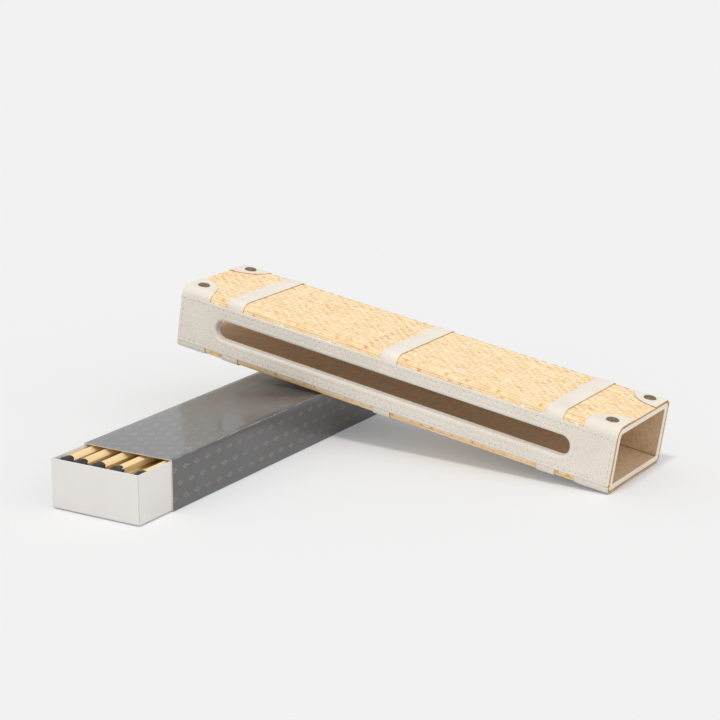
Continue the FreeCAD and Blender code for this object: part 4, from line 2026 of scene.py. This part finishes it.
@dataclass
class Studio:
    """The pale floor, the soft light and the camera.

    Attributes:
        floor_colour: the floor
        floor_half: half of its width
        floor_drop: how far it lies below the set
        floor_roughness: how dull it is
        cloud_scale: how closely its tones change
        cloud_shade: its darkest tone, as a share of its palest
        floor_glow: how much of its light is a glow that shows but lights nothing
        glow_tint: the colour of that glow
        sky: how bright the sky is for what it lights
        backdrop: how bright it looks
        suns: for each sun its strength, the way to it and how wide it is
        eye: where the camera stands
        yaw: where it looks, clockwise from the row's y axis
        pitch: how far it looks down
        lens: its focal length
        sensor: its sensor's width
        far: how far it sees
    """

    floor_colour: Colour = (0.88, 0.88, 0.88, 1.0)
    floor_half: float = 9.0
    floor_drop: float = 0.02 * MM
    floor_roughness: float = 0.9
    cloud_scale: float = 3.0
    cloud_shade: float = 0.995
    floor_glow: float = 0.165
    glow_tint: Colour = (0.61, 0.79, 1.0, 1.0)
    sky: float = 0.56
    backdrop: float = 0.88
    suns: tuple[tuple[float, Vector, float], ...] = (
        (1.02, Vector((0.05, -0.4, 0.915)), 9.0),
        (0.85, Vector((0.75, -0.38, 0.54)), 110.0),
    )
    eye: tuple[float, float, float] = (0.61228, -1.01594, 0.385717)
    yaw: float = -31.3085
    pitch: float = 15.2274
    lens: float = 105.904
    sensor: float = 36.0
    far: float = 60.0

    def build(self) -> None:
        """Sets the floor, the light, the camera and the view."""
        self._floor()
        self._light()
        self._camera()
        bpy.context.scene.view_settings.view_transform = "Standard"
        LOG.info("studio: floor, sky, %d suns and camera", len(self.suns))

    @staticmethod
    def _stand(name: str, data: bpy.types.ID) -> Piece:
        """Adds an object to the scene."""
        made = bpy.data.objects.new(name, data)
        bpy.context.scene.collection.objects.link(made)
        return made

    @staticmethod
    def _shown(sketch: Sketch) -> Socket:
        """Gives 1 for the rays that show something, also in gloss, and 0 for those that only light it."""
        rays = sketch.node("LightPath").outputs
        shown = sketch.math("MAXIMUM", rays["Is Camera Ray"], rays["Is Glossy Ray"])
        return sketch.math("MAXIMUM", shown, rays["Is Transmission Ray"])

    def _floor(self) -> None:
        """Lays the floor, faintly uneven in tone; a glow that lights nothing keeps its shadows pale."""
        bm = bmesh.new()
        place = Matrix.Translation((0.0, 0.0, -self.floor_drop))
        bmesh.ops.create_grid(bm, x_segments=2, y_segments=2, size=self.floor_half, matrix=place)
        mesh = bpy.data.meshes.new("studio_floor")
        bm.to_mesh(mesh)
        bm.free()
        material, sketch, inputs = new_finish("studio_paper")
        cloud = sketch.cloud(sketch.place(), self.cloud_scale)
        darkest = tuple(level * self.cloud_shade for level in self.floor_colour[:3]) + (1.0,)
        paper = sketch.mix(cloud, self.floor_colour, darkest)
        shown = self._shown(sketch)
        shares = (glow / level for glow, level in zip(self.glow_tint, self.floor_colour))
        dimming = tuple(1.0 - self.floor_glow * share for share in shares)
        feeds = {
            "Base Color": sketch.mix(shown, paper, dimming, "MULTIPLY"),
            "Emission Color": sketch.mix(shown, (0.0, 0.0, 0.0, 1.0), self.glow_tint),
            "Emission Strength": self.floor_glow,
            "Roughness": self.floor_roughness,
            "Specular IOR Level": 0.0,
        }
        sketch.join(inputs, feeds)
        mesh.materials.append(material)
        floor = self._stand("studio_floor", mesh)

    def _light(self) -> None:
        """Sets an even sky, a pale backdrop that gloss shows, and two suns: a key one and a broad one."""
        world = bpy.data.worlds.new("studio_sky")
        world.use_nodes = True
        sketch = Sketch(world.node_tree)
        level = sketch.math("MULTIPLY_ADD", self._shown(sketch), self.backdrop - self.sky, self.sky)
        feeds = {"Color": (1.0, 1.0, 1.0, 1.0), "Strength": level}
        sketch.join(world.node_tree.nodes["Background"].inputs, feeds)
        bpy.context.scene.world = world
        for strength, towards, angle in self.suns:
            lamp = bpy.data.lights.new("soft_sun", "SUN")
            lamp.energy = strength
            lamp.angle = math.radians(angle)
            self._stand("soft_sun", lamp).rotation_euler = towards.to_track_quat("Z", "Y").to_euler()

    def _camera(self) -> None:
        """Stands the camera where the photograph was taken."""
        yaw, pitch = math.radians(self.yaw), math.radians(self.pitch)
        level = math.cos(pitch)
        ahead = Vector((math.sin(yaw) * level, math.cos(yaw) * level, -math.sin(pitch)))
        data = bpy.data.cameras.new("photo_camera")
        data.lens = self.lens
        data.sensor_width = self.sensor
        data.clip_end = self.far
        camera = self._stand("photo_camera", data)
        camera.location = self.eye
        camera.rotation_euler = ahead.to_track_quat("-Z", "Y").to_euler()
        bpy.context.scene.camera = camera


def dress_frame(nodes: dict[str, Piece], finishes: Finishes) -> None:
    """Gives the CAD nodes that stay, and the hidden ones, their materials.

    Args:
        nodes: the CAD nodes
        finishes: the materials
    """
    kept = {
        "lining": finishes.suede,
        "board": finishes.board,
        "backing": finishes.backing,
        "slot_binding": finishes.panel,
        "rivet": finishes.bronze,
        "striker": finishes.striker,
        "raffia": finishes.backing,
        "strap": finishes.trim,
        "patch": finishes.trim,
        "side_panel": finishes.panel,
        "end_binding": finishes.binding,
        "sleeve": finishes.sleeve,
        "tray": finishes.tray,
        "stick": finishes.wood,
        "head": finishes.head,
    }
    for name, node in sorted(nodes.items()):
        finish = next(material for word, material in kept.items() if word in name)
        node.data.materials.clear()
        node.data.materials.append(finish)
        LOG.info("%s: CAD solid in %s", name, finish.name)


def main() -> None:
    """Loads the frame, makes every piece and sets the studio."""
    logging.basicConfig(level=logging.INFO, format="%(message)s")
    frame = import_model()
    nodes = frame["nodes"]
    holder = HolderFrame.read(frame)
    finishes = Finishes(Effects(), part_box("matchbox_sleeve"))
    dress_frame(nodes, finishes)
    Studio().build()
    hides = {Face.TOP: finishes.trim, Face.BOTTOM: finishes.panel}
    matchbox = Matchbox()
    pieces = [
        *[RaffiaCover(holder, face).build(finishes.raffia) for face in Face],
        *LeatherTrim(holder).build(hides, finishes.cut_hide),
        *SidePanels(holder).build(
            finishes.panel, finishes.cut_hide, finishes.thread, finishes.needle_hole
        ),
        *MouthBindings(holder).build(finishes.binding),
        ChannelSeams(holder).build(finishes.seam),
        Rivets(holder).build(finishes.bronze),
        matchbox.build_sleeve(finishes.sleeve, finishes.card_core),
        matchbox.build_tray(finishes.tray, finishes.tray_fold_shade),
        *Matches(nodes).build(finishes.wood, finishes.head),
    ]
    LOG.info("%d pieces made", len(pieces))


if __name__ == "__main__":
    main()
